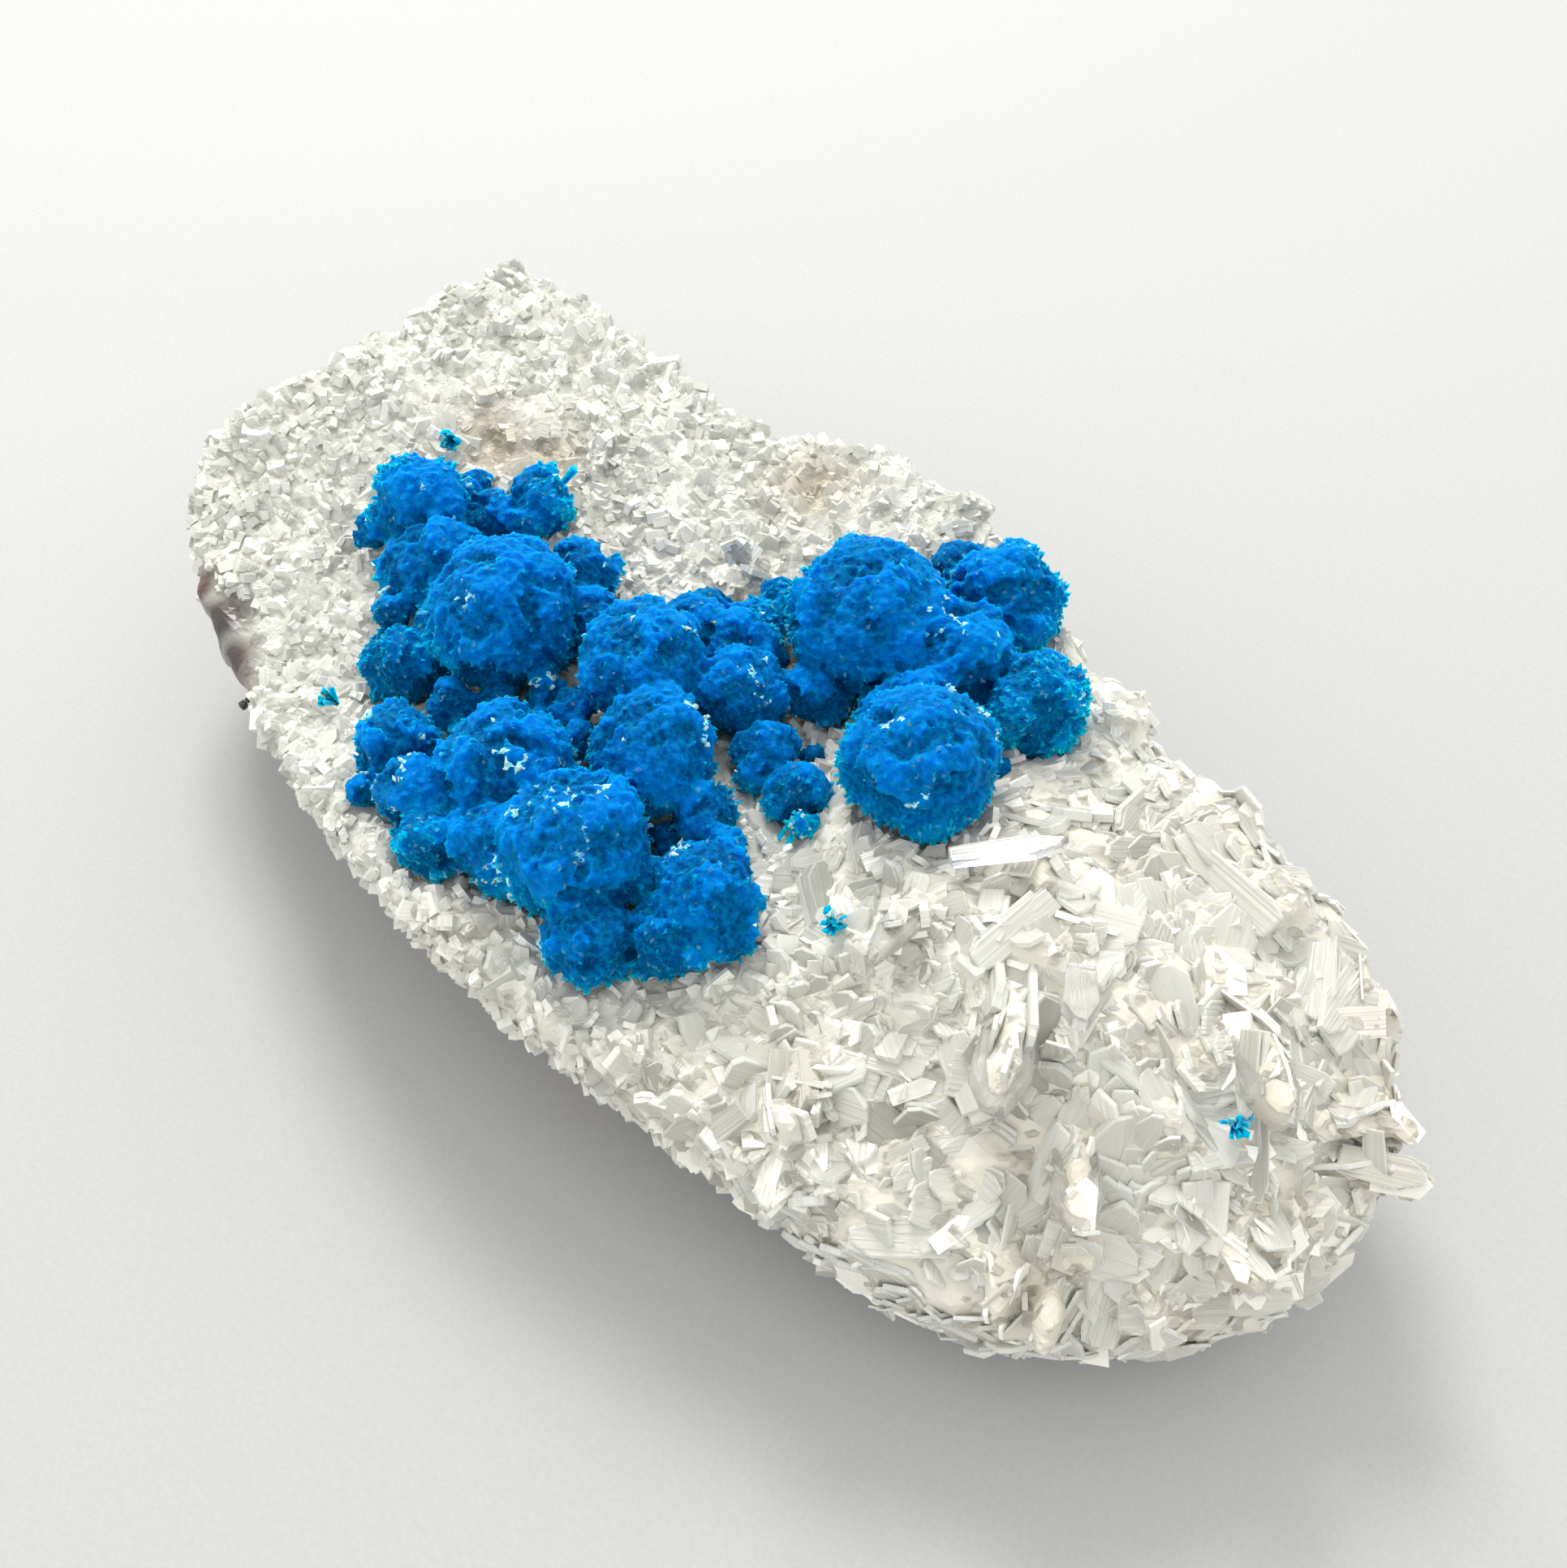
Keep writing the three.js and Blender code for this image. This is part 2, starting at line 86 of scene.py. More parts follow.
# Rosettes of each cluster: x, y, z of the middle and radius to the crystal tips.
CLUSTERS = {
    "cavansite_rosettes_left": [
        (-34, -2.5, 25, 4.25), (-30, 1, 23.5, 2.75), (-27.5, 4.5, 24.5, 3),
        (-29.5, -5.5, 23.5, 4.5), (-21, -5.5, 24.5, 6.25), (-20, 1.5, 23.5, 3.25),
        (-16.5, -1, 22.5, 3), (-24.5, -9, 21.5, 3.5), (-25.5, -13, 21, 3.5),
        (-28.7, -10.9, 22.8, 1.6), (-36.7, -6.3, 22.8, 1.7), (-33.9, 3, 23, 1.6),
        (-19.2, -13.4, 21.8, 2.2), (-17, -10.6, 21.4, 2.2), (-14.6, -8.2, 21.4, 2.1),
    ],
    "cavansite_rosettes_front": [
        (-18.5, -19, 22.5, 3.5), (-14, -21.5, 23.5, 3), (-10, -23.5, 23, 2.75),
        (-9.5, -16, 24.5, 5.25), (-6, -20.5, 23.5, 3.75), (-0.5, -17.5, 25.5, 5.5),
        (4, -21, 23, 3.75), (8.5, -18, 23, 3.25),
        (8, -14, 24, 4.25), (11, -14.8, 23.2, 2.3), (-17.3, -23.5, 22.3, 1.4),
        (1.5, -11.6, 22.3, 1.5),
    ],
    "cavansite_rosettes_middle": [
        (-8.5, -3, 25.5, 5.25), (-2.5, -8, 25.5, 4.75), (3, -8.5, 23.5, 2.5), (-9, 3, 24.5, 3),
        (-5.5, 4, 24, 3.25), (-6, 7, 23, 2.5), (-2, 1, 24, 3.75), (2.5, -1.5, 23, 3),
        (7, -3, 23.5, 2.5), (9, -4.5, 23.7, 1.3), (6.4, -9.6, 23.1, 1.6), (-12.2, -7.3, 22, 2),
        (-9, -9.4, 22, 1.6), (-10.2, 6.4, 23.3, 2), (-6.7, 10.4, 23.8, 1.9), (-2.8, 6, 22.8, 1.6),
    ],
    "cavansite_rosettes_right": [
        (1.5, 11.5, 26.5, 6.5), (2, 5.5, 23.5, 3), (9, 13.5, 26, 4.5), (8, 20.5, 26, 4.5),
        (2.5, 21.5, 24.5, 2.75), (15.5, 14, 25.5, 4), (9, 7.5, 25, 4), (14, 2.5, 28.5, 5.75),
        (16.7, 12, 24.2, 1.8), (16.7, 8, 24, 1.5), (4.9, 1, 22.4, 1.2),
    ],
}

# Small sprays: where each grows from, the way it points and its reach.
SPRAYS = {
    "cavansite_spray_behind": ((-38.5, 5, 24.2), (0.4, -0.7, 0.6), 1.9),
    "cavansite_spray_front": ((-27, -18.5, 19.9), (-0.4, -0.5, 0.8), 1.8),
    "cavansite_spray_mound": ((16.5, -9.5, 24), (0.5, -0.5, 0.7), 1.9),
    "cavansite_spray_right_end": ((45, -2.5, 21.4), (0.4, -0.3, 0.9), 2.1),
}

# Single laths that stand out of the crust: foot, tip, width and thickness.
LATHS = [
    ((20.5, -5, 26.5), (21.8, -12.5, 28.5), 2.2, 1.5),
    ((22, -1.5, 29), (26.5, 2.5, 30.5), 1.6, 1.0),
    ((33, -4.5, 28.5), (35.5, -8.5, 31), 2.4, 1.0),
    ((31, -9, 26), (34.5, -15.5, 28), 4.0, 1.4),
    ((43, 2.5, 23), (48.5, -3, 25.5), 3.6, 1.2),
    ((38.5, -11, 21), (42.5, -16.5, 24), 3.4, 1.2),
    ((-27, 10.5, 23), (-29.2, 14, 26), 1.8, 1.0),
    ((-10, 11.5, 23), (-12.5, 10.5, 26.5), 1.6, 1.0),
]

# Lone cavansite blades that stand off a rosette: foot, tip, width.
NEEDLES = {
    "cavansite_rosettes_left": [
        ((-27.2, 6.6, 25), (-26.4, 7.6, 26.8), 0.9), ((-27.4, 6.6, 25), (-27.1, 8, 26.1), 0.7),
    ],
    "cavansite_rosettes_middle": [
        ((8.6, -4.6, 23.5), (9.4, -6.4, 23.6), 0.7), ((8.2, -4.9, 23.2), (8.5, -6.6, 23), 0.6),
    ],
}

# Parts of the rosettes painted paler cyan, as painted light that thin blades let through: x, y,
# radius and strength.
CYAN = [
    (-27, -14, 4, 1.0), (-26, 5.5, 3, 0.8), (-37, -4, 3, 0.6), (-34, 1, 2.5, 0.5),
    (16.5, 13, 4.5, 0.8), (9, -5, 3, 0.8), (10, 23, 4, 0.5), (-5, 8.5, 3, 0.7),
    (-10, -25.5, 3, 0.9), (9, -19, 3, 0.4),
]

# Places where the crust is stained tan: x, y, radius and strength.
STAINS = [
    (-35, 7, 4, 1.0), (-31.5, 8.5, 3.5, 1.0), (-38, 8, 2.5, 0.9), (-12, 21, 4, 0.7),
    (-14, -8, 5, 0.5), (-2, 6, 5, 0.4), (3, -12, 4, 0.4), (-4.5, -24.5, 4, 0.5),
    (30, -10, 6, 0.45), (44, 2, 6, 0.35), (24, -20, 6, 0.3), (40, 10, 5, 0.4),
]

# Where the basalt shows through the crust at the side: x, y and radius.
BARE = [
    (-43.5, -20, 3.2), (-38, -22.3, 2.6), (-47, -17.4, 1.8),
    (-42.5, -18.2, 2.4), (-39, -20.4, 2.2), (-36, -22.5, 2),
]

# Outlines of the flat crystals, one wide, from the foot at 0 to the tip at 1.
SMALL_OUTLINES = [
    ((-0.42, 0), (0.42, 0), (0.5, 0.8), (0.05, 1.0), (-0.5, 0.74)),
    ((-0.44, 0), (0.44, 0), (0.5, 0.9), (-0.3, 1.0), (-0.5, 0.8)),
]
LARGE_OUTLINES = [
    ((-0.4, 0), (0.4, 0), (0.5, 0.72), (0.2, 0.94), (-0.16, 1.0), (-0.5, 0.66)),
    ((-0.38, 0), (0.38, 0), (0.5, 0.64), (0.1, 1.0), (-0.2, 0.96), (-0.5, 0.76)),
    ((-0.44, 0), (0.44, 0), (0.5, 0.84), (0.3, 0.97), (-0.34, 1.0), (-0.5, 0.8)),
]


# ---- What a user would change ----


def length_setting(name, description, default_mm, least_mm=0):
    """A size that a user can change, kept in metres."""
    return FloatProperty(
        name=name, description=description, default=default_mm * MM, min=least_mm * MM,
        unit="LENGTH",
    )


def colour_setting(name, description, default):
    """A colour that a user can change."""
    return FloatVectorProperty(
        name=name, description=description, default=default, size=3, subtype="COLOR",
    )


class StilbiteSettings(bpy.types.PropertyGroup):
    """Sizes and colours of the stilbite blades."""

    spacing_left: length_setting(
        "Spacing at the left", "Distance between stacks of small blades", 0.92, 0.6,
    )
    spacing_right: length_setting(
        "Spacing at the right", "Distance between stacks of large blades", 1.45, 1.0,
    )
    length_left: length_setting("Length at the left", "Length of the small blades", 2.5)
    length_right: length_setting("Length at the right", "Length of the large blades", 7.0)
    thickness: FloatProperty(
        name="Thickness", description="Thickness of a blade as a share of its width",
        default=0.4, min=0.1, max=1.0, subtype="FACTOR",
    )
    most_proud: length_setting("Most proud", "How far a blade's end may stand off the crust", 1.2)
    # The tips' colour is also painted on the blades' rims and free ends as a highlight.
    tip_colour: colour_setting("Tips", "Colour of the blades' free ends", (0.93, 0.935, 0.88))
    body_colour: colour_setting("Body", "Colour of the blades' middles", (0.7, 0.695, 0.615))
    dull_colour: colour_setting(
        "Dull", "Colour of the duller blades, most of them at the left end", (0.31, 0.315, 0.28),
    )
    streak_colour: colour_setting(
        "Streaks", "Colour of the paler streaks along the blades", (0.84, 0.84, 0.775),
    )
    stain_colour: colour_setting("Stain", "Tan colour deep between the blades", (0.42, 0.34, 0.225))


class CavansiteSettings(bpy.types.PropertyGroup):
    """Sizes and colours of the cavansite blades."""

    bundle_spacing: length_setting(
        "Bundle spacing", "Distance between bundles of blades over a rosette", 1.7, 0.8,
    )
    blade_spacing: length_setting(
        "Blade spacing", "Distance between neighbouring blades of a rosette", 0.37, 0.3,
    )
    blade_width: length_setting("Blade width", "Width of a blade near its tip", 0.42)
    # Painted light: the cyan stands for light showing through thin blades, most on the rosettes'
    # sides.
    tip_colour: colour_setting("Tips", "Cyan of the thin tips", (0.0, 0.34, 0.62))
    body_colour: colour_setting("Body", "Blue of the blades", (0.0, 0.15, 0.52))
    # Painted highlight: near white painted on the tips of a few blades as glints.
    painted_glint_colour: colour_setting(
        "Gleam", "Near white of the few tips that catch the light", (0.4, 0.9, 1.0),
    )
    # Painted shade: navy that darkens the blades toward their roots, where the gaps between them
    # lie in shade.
    painted_crevice_shade_colour: colour_setting("Roots", "Navy deep between the blades", (0.0, 0.07, 0.24))


class BasaltSettings(bpy.types.PropertyGroup):
    """Roughness and colours of the basalt."""

    roughness: length_setting("Roughness", "How far the broken surface rises and falls", 0.7)
    dark_colour: colour_setting("Rock", "Dark grey-brown of the rock", (0.035, 0.032, 0.03))
    grain_colour: colour_setting("Grains", "Paler grey of the rock's grains", (0.11, 0.10, 0.09))
    red_colour: colour_setting("Rust", "Reddish altered patches", (0.12, 0.04, 0.025))


# ---- Helpers ----


def growth_at(x_mm):
    """0 over the small crystals of the left end, 1 over the large ones of the right end."""
    share = np.clip((x_mm - SMALL_END_MM) / GROWTH_LENGTH_MM, 0, 1)
    return share * share * (3 - 2 * share)


def mix(first, second, share):
    """The value a share of the way from the first to the second."""
    return first + (second - first) * share


def unit(vectors):
    """Each row of an array, made one long."""
    return vectors / np.maximum(np.linalg.norm(vectors, axis=-1, keepdims=True), 1e-9)


def square_to(axes, wanted):
    """The part of each wanted direction that is square to its axis, one long."""
    return unit(wanted - axes * np.sum(axes * wanted, axis=-1, keepdims=True))


def new_object(name, data):
    """An object of the scene, at the origin. The pieces stay there."""
    thing = bpy.data.objects.new(name, data)
    bpy.context.scene.collection.objects.link(thing)
    return thing


def merged_copy(node, name):
    """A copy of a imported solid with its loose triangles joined."""
    shape = bmesh.new()
    shape.from_mesh(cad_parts[node].data)
    bmesh.ops.remove_doubles(shape, verts=shape.verts, dist=1e-6)
    mesh = bpy.data.meshes.new(name)
    shape.to_mesh(mesh)
    shape.free()
    return new_object(name, mesh)


def remesh_evenly(piece, voxel):
    """Gives a piece one closed skin of even faces, as wide as the voxel."""
    remesh = piece.modifiers.new("Even faces", "REMESH")
    remesh.mode = "VOXEL"
    remesh.voxel_size = voxel


def apply_modifiers(piece):
    """Turns a piece's modifiers into its mesh."""
    evaluated = piece.evaluated_get(bpy.context.evaluated_depsgraph_get())
    mesh = bpy.data.meshes.new_from_object(evaluated)
    piece.modifiers.clear()
    piece.data = mesh
    mesh.name = piece.name


def finish_piece(piece, nodes, material):
    """Gives a piece its material, hangs it under the root and hides the imported solids that it
    stands for.
    """
    if len(piece.data.polygons) == 0:
        raise RuntimeError(f"{piece.name} came out empty")
    piece.data.materials.clear()
    piece.data.materials.append(material)
    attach(piece, "root")
    for node in nodes:
        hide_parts(node)


def vertex_arrays(mesh):
    """The places and the normals of a mesh's points, one row each."""
    points = np.empty(len(mesh.vertices) * 3)
    normals = np.empty(len(mesh.vertices) * 3)
    mesh.vertices.foreach_get("co", points)
    mesh.vertex_normals.foreach_get("vector", normals)
    return points.reshape(-1, 3), normals.reshape(-1, 3)


def move_points(piece, points):
    """Puts every point of a piece where the rows say."""
    piece.data.vertices.foreach_set("co", points.reshape(-1))
    piece.data.update()


def keep_values(mesh, label, values):
    """Stores a value for each point of a mesh, for its material to read."""
    layer = mesh.attributes.new(label, "FLOAT", "POINT")
    layer.data.foreach_set("value", np.asarray(values, np.float32))


def bvh_tree(mesh):
    """The faces of a mesh, ready to be looked up by place."""
    shape = bmesh.new()
    shape.from_mesh(mesh)
    tree = BVHTree.FromBMesh(shape)
    shape.free()
    return tree


# ---- Crystals as templates, stamped many times ----


def template_from(shape):
    """Arrays of a small crystal's corners, loops and faces; X across, Y from foot to tip."""
    shape.verts.index_update()
    corners = np.array([vert.co for vert in shape.verts])
    loops = np.array([vert.index for face in shape.faces for vert in face.verts])
    totals = np.array([len(face.verts) for face in shape.faces])
    shape.free()
    return {"corners": corners, "loops": loops, "totals": totals, "reach": corners[:, 1]}


def tablet_template(outline, bevel):
    """A flat crystal one wide, one long and one thick, cut to an outline, with chamfered edges."""
    shape = bmesh.new()
    face = shape.faces.new([shape.verts.new((x, y, -0.5)) for x, y in outline])
    top = bmesh.ops.extrude_face_region(shape, geom=[face])
    raised = [item for item in top["geom"] if isinstance(item, bmesh.types.BMVert)]
    bmesh.ops.translate(shape, verts=raised, vec=(0, 0, 1))
    if bevel:
        # The chamfer is cut at a blade's own proportions, then the tablet is unit-sized again.
        long, thick = 2.4, 0.3
        bmesh.ops.scale(shape, vec=(1, long, thick), verts=shape.verts)
        rims = [e for e in shape.edges if abs(e.verts[0].co.z - e.verts[1].co.z) < 1e-6]
        bmesh.ops.bevel(
            shape, geom=rims, offset=bevel, offset_type="OFFSET", segments=1, profile=0.5,
            affect="EDGES", material=-1,
        )
        bmesh.ops.scale(shape, vec=(1, 1 / long, 1 / thick), verts=shape.verts)
    bmesh.ops.recalc_face_normals(shape, faces=shape.faces)
    template = template_from(shape)
    if bevel:
        # The rim counts as fully reached, so that it comes out pale all round, a painted highlight
        # on the chamfered edges.
        painted_rim_highlight = np.abs(template["corners"][:, 2]) < 0.49
        template["reach"] = np.where(painted_rim_highlight, 1, 0.7 * template["corners"][:, 1])
    return template


def shard_template(sides, root, low_side):
    """A prism that widens from its root, its free end cut slanting so that one corner stands up."""
    shape = bmesh.new()
    bmesh.ops.create_cone(
        shape, cap_ends=True, segments=sides, radius1=0.5 * root, radius2=0.5, depth=1,
        matrix=Matrix.Rotation(-math.pi / 2, 4, "X"),
    )
    bmesh.ops.translate(shape, verts=shape.verts, vec=(0, 0.5, 0))
    for vert in shape.verts:
        if vert.co.y > 0.9:
            vert.co.y = 1 - low_side * (0.5 - vert.co.x)
    bmesh.ops.recalc_face_normals(shape, faces=shape.faces)
    return template_from(shape)


def stamp(template, places):
    """One crystal at each place: its foot, direction, the way its broad side faces and its sizes.

    sizes holds width, length and thickness. Returns the parts of a joined mesh.
    """
    count = len(places["feet"])
    across = np.cross(places["directions"], places["broad"])
    local = template["corners"][None, :, :] * places["sizes"][:, None, :]
    points = (
        places["feet"][:, None, :]
        + local[:, :, 0:1] * across[:, None, :]
        + local[:, :, 1:2] * places["directions"][:, None, :]
        + local[:, :, 2:3] * places["broad"][:, None, :]
    )
    per = len(template["corners"])
    shift = (np.arange(count) * per)[:, None]
    return {
        "points": points.reshape(-1, 3),
        "loops": (template["loops"][None, :] + shift).reshape(-1),
        "totals": np.tile(template["totals"], count),
        "reach": np.tile(template["reach"], count),
        "across": local[:, :, 0].reshape(-1) / MM,
        "shade": np.repeat(places["shades"], per),
        "gloss": np.repeat(places["gloss"], per),
        "stain_and_painted_glow": np.repeat(places["stain_and_painted_glow"], per),
    }


def chosen(places, which):
    """Those of the places for which which is true."""
    return {label: values[which] for label, values in places.items()}


def stamp_places(templates, places):
    """Stamps every place with one of the templates, picked by its form from 0 to 1."""
    forms = (places["form"] * len(templates)).astype(int)
    return [
        stamp(template, chosen(places, forms == index))
        for index, template in enumerate(templates) if (forms == index).any()
    ]


def joined_piece(name, parts):
    """One piece from stamped parts, with what colours them kept for its points."""
    shift = 0
    loops = []
    for part in parts:
        loops.append(part["loops"] + shift)
        shift += len(part["points"])
    points = np.concatenate([part["points"] for part in parts])
    loops = np.concatenate(loops)
    totals = np.concatenate([part["totals"] for part in parts])
    mesh = bpy.data.meshes.new(name)
    mesh.vertices.add(len(points))
    mesh.vertices.foreach_set("co", points.astype(np.float32).reshape(-1))
    mesh.loops.add(len(loops))
    mesh.loops.foreach_set("vertex_index", loops.astype(np.int32))
    mesh.polygons.add(len(totals))
    starts = np.concatenate([[0], np.cumsum(totals)[:-1]])
    mesh.polygons.foreach_set("loop_start", starts.astype(np.int32))
    for label in ("reach", "across", "shade", "gloss", "stain_and_painted_glow"):
        keep_values(mesh, label, np.concatenate([part[label] for part in parts]))
    mesh.update(calc_edges=True)
    mesh.validate()
    mesh.shade_flat()
    return new_object(name, mesh)


def fuse(piece, voxel, labels):
    """Joins the overlapping parts of a piece into one closed skin.

    Each point of the skin takes the named values of the old point nearest to it.
    """
    old_points = vertex_arrays(piece.data)[0]
    nearby = KDTree(len(old_points))
    for index, point in enumerate(old_points):
        nearby.insert(point, index)
    nearby.balance()
    values = {}
    for label in labels:
        values[label] = np.empty(len(old_points), np.float32)
        piece.data.attributes[label].data.foreach_get("value", values[label])
    remesh_evenly(piece, voxel)
    apply_modifiers(piece)
    nearest = [nearby.find(point)[1] for point in vertex_arrays(piece.data)[0]]
    for label in labels:
        keep_values(piece.data, label, values[label][nearest])


# ---- Where things lie ----

ROSETTES = np.array([ball for balls in CLUSTERS.values() for ball in balls], float)


def deepest_in(points_mm, skip=None):
    """How far each point lies inside its nearest rosette, as a share of that rosette's radius."""
    depth = np.full(len(points_mm), -9.0)
    for index, (x, y, z, radius) in enumerate(ROSETTES):
        if index != skip:
            away = np.linalg.norm(points_mm - np.array([x, y, z]), axis=1)
            depth = np.maximum(depth, 1 - away / radius)
    return depth


def soft_spots(points_mm, spots):
    """The strongest of some round soft spots at each point, seen from above."""
    value = np.zeros(len(points_mm))
    for x, y, radius, strength in spots:
        away = np.hypot(points_mm[:, 0] - x, points_mm[:, 1] - y) / radius
        value = np.maximum(value, strength * np.exp(-(away ** 2)))
    return value


def stain_at(points_mm):
    """How tan the crust is at each point, from 0 to 1: in the pits, in the hollow, to the right."""
    return np.maximum(0.4 * growth_at(points_mm[:, 0]), soft_spots(points_mm, STAINS))


def bare_at(points_mm):
    """1 where the basalt shows through the crust, falling to 0 around those places."""
    bare = np.zeros(len(points_mm))
    for x, y, radius in BARE:
        away = np.hypot(points_mm[:, 0] - x, points_mm[:, 1] - y) / radius
        bare = np.maximum(bare, np.clip(1.5 - away, 0, 1))
    return np.where(points_mm[:, 2] < 22, bare, 0)


# ---- Materials ----


def feed(node, sockets):
    """Gives a node's sockets plain values, or links them to the sockets of other nodes."""
    for socket, value in sockets.items():
        if isinstance(value, bpy.types.NodeSocket):
            node.id_data.links.new(value, node.inputs[socket])
        else:
            node.inputs[socket].default_value = value


def add(tree, kind, sockets=None, **settings):
    """A new node with the given settings and sockets."""
    node = tree.nodes.new(kind)
    for name, value in settings.items():
        setattr(node, name, value)
    feed(node, sockets or {})
    return node


def spread(value, low, high, to_low=0.0, to_high=1.0):
    """A value between low and high, carried over to another range and held inside it."""
    node = add(value.id_data, "ShaderNodeMapRange", {
        "Value": value, "From Min": low, "From Max": high, "To Min": to_low, "To Max": to_high,
    })
    return node.outputs["Result"]


def combined(operation, first, second):
    """A value taken together with another one or with a number."""
    node = add(first.id_data, "ShaderNodeMath", {0: first, 1: second}, operation=operation)
    return node.outputs["Value"]


def times(first, second):
    """A value multiplied by another one or by a number."""
    return combined("MULTIPLY", first, second)


def colour_mix(factor, first, second):
    """A mix of two colours, each a socket or a plain colour."""
    first, second = (
        end if isinstance(end, bpy.types.NodeSocket) else (*end, 1) for end in (first, second)
    )
    sockets = {"Factor": factor, 6: first, 7: second}
    return add(factor.id_data, "ShaderNodeMix", sockets, data_type="RGBA").outputs[2]


def mottle_group():
    """Soft uneven patches: larger ones with finer ones over them. Used by every mineral here."""
    if "Mineral mottle" in bpy.data.node_groups:
        return bpy.data.node_groups["Mineral mottle"]
    group = bpy.data.node_groups.new("Mineral mottle", "ShaderNodeTree")
    sockets = group.interface
    sockets.new_socket("Vector", in_out="INPUT", socket_type="NodeSocketVector")
    for label in ("Patch Scale", "Grain Scale"):
        sockets.new_socket(label, in_out="INPUT", socket_type="NodeSocketFloat")
    for label in ("Patches", "Grain"):
        sockets.new_socket(label, in_out="OUTPUT", socket_type="NodeSocketFloat")
    entry = add(group, "NodeGroupInput").outputs
    leave = add(group, "NodeGroupOutput")
    for label, scale, detail, low, high in (
        ("Patches", "Patch Scale", 3, 0.35, 0.65), ("Grain", "Grain Scale", 4, 0.3, 0.7),
    ):
        texture = add(group, "ShaderNodeTexNoise", {
            "Vector": entry["Vector"], "Scale": entry[scale], "Detail": detail,
        })
        feed(leave, {label: spread(texture.outputs["Fac"], low, high)})
    return group


def new_material(name, patch_scale=120, grain_scale=900):
    """A material, its shader, and its patches and grain at the given scales per metre."""
    material = bpy.data.materials.new(name)
    material.use_nodes = True
    tree = material.node_tree
    mottle = add(tree, "ShaderNodeGroup", node_tree=mottle_group())
    place = add(tree, "ShaderNodeTexCoord").outputs["Object"]
    feed(mottle, {"Vector": place, "Patch Scale": patch_scale, "Grain Scale": grain_scale})
    shader = tree.nodes["Principled BSDF"]
    return material, shader, mottle.outputs["Patches"], mottle.outputs["Grain"]


def kept(shader, label):
    """The value that each point of the mesh keeps under a label."""
    return add(shader.id_data, "ShaderNodeAttribute", attribute_name=label).outputs["Fac"]


def bump(shader, height, distance, strength=1.0):
    """Fine relief of a height over the distance, in metres."""
    node = add(shader.id_data, "ShaderNodeBump", {
        "Height": height, "Distance": distance, "Strength": strength,
    })
    feed(shader, {"Normal": node.outputs["Normal"]})


def striation(shader, per_mm):
    """Fine lines along a crystal, different on each one."""
    lines_apart = 57.0
    across = times(kept(shader, "across"), per_mm)
    own = times(kept(shader, "shade"), lines_apart)
    lines = add(shader.id_data, "ShaderNodeTexNoise", {
        "W": combined("ADD", across, own), "Scale": 1.0, "Detail": 2.0,
    }, noise_dimensions="1D")
    return lines.outputs["Fac"]


def basalt_material():
    """Matte dark rock with grey grains and rusty patches."""
    colours = bpy.context.scene.specimen_basalt
    material, shader, patches, grain = new_material("Basalt", 160, 1400)
    rock = colour_mix(grain, colours.dark_colour, colours.grain_colour)
    feed(shader, {
        "Base Color": colour_mix(spread(patches, 0.55, 0.9), rock, colours.red_colour),
        "Roughness": spread(grain, 0, 1, 0.6, 0.95),
    })
    bump(shader, grain, 0.3 * MM)
    return material


def stilbite_body(shader, patches, grain):
    """Olive white with paler streaks along the crystal, dull or tan where it keeps those."""
    colours = bpy.context.scene.specimen_stilbite
    shade, stain_and_painted_glow = kept(shader, "shade"), kept(shader, "stain_and_painted_glow")
    tan = times(spread(patches, 0, 1, 0.4, 1.2), stain_and_painted_glow)
    dull = spread(shade, 0, 0.36, 1, 0)
    body = colour_mix(dull, colours.body_colour, colours.dull_colour)
    body = colour_mix(tan, body, colours.stain_colour)
    lines = spread(striation(shader, 2.2), 0.45, 0.75)
    streaks = times(spread(shade, 0, 0.6, 0.3, 1), lines)
    clean = times(spread(grain, 0.3, 0.8, 0.2, 1), spread(stain_and_painted_glow, 0.4, 0.9, 1, 0))
    return colour_mix(times(streaks, clean), body, colours.streak_colour)


def stilbite_ground_material():
    """The fused mass of small stilbite, with the rock where it lies bare."""
    material, shader, patches, grain = new_material("Stilbite ground", 90, 500)
    rocks = bpy.context.scene.specimen_basalt
    rock = colour_mix(patches, rocks.dark_colour, rocks.red_colour)
    body = stilbite_body(shader, patches, grain)
    feed(shader, {
        "Base Color": colour_mix(kept(shader, "bare"), body, rock), "Roughness": 0.3,
    })
    bump(shader, striation(shader, 3.5), 0.12 * MM, 0.8)
    return material


def stilbite_material(name, edge, see_through):
    """Crystals whose rims and free ends are painted pale as a highlight, as pale as edge from 0 to
    1, that let the share see_through pass.
    """
    tip = bpy.context.scene.specimen_stilbite.tip_colour
    material, shader, patches, grain = new_material(name, 90, 500)
    stain_and_painted_glow = kept(shader, "stain_and_painted_glow")
    # Painted highlight: rims of the chamfered plates and the free ends of the others are mixed
    # toward the tip colour, less where stained.
    painted_rim_highlight = times(
        spread(kept(shader, "reach"), 0.72, 0.98, 0, edge), spread(stain_and_painted_glow, 0.5, 0.9, 1, 0.1),
    )
    own = times(
        spread(kept(shader, "shade"), 0, 1, 0.2 * edge, 0.9), spread(stain_and_painted_glow, 0.4, 1, 1, 0),
    )
    pale = colour_mix(own, stilbite_body(shader, patches, grain), tip)
    # An index under stilbite's own 1.5 keeps the light in blades that overlap.
    feed(shader, {
        "Base Color": colour_mix(painted_rim_highlight, pale, tip),
        "Roughness": spread(kept(shader, "gloss"), 0, 1, 0.35, 0.06),
        "IOR": 1.4, "Transmission Weight": see_through,
    })
    bump(shader, striation(shader, 3.5), 0.12 * MM, 0.8)
    return material


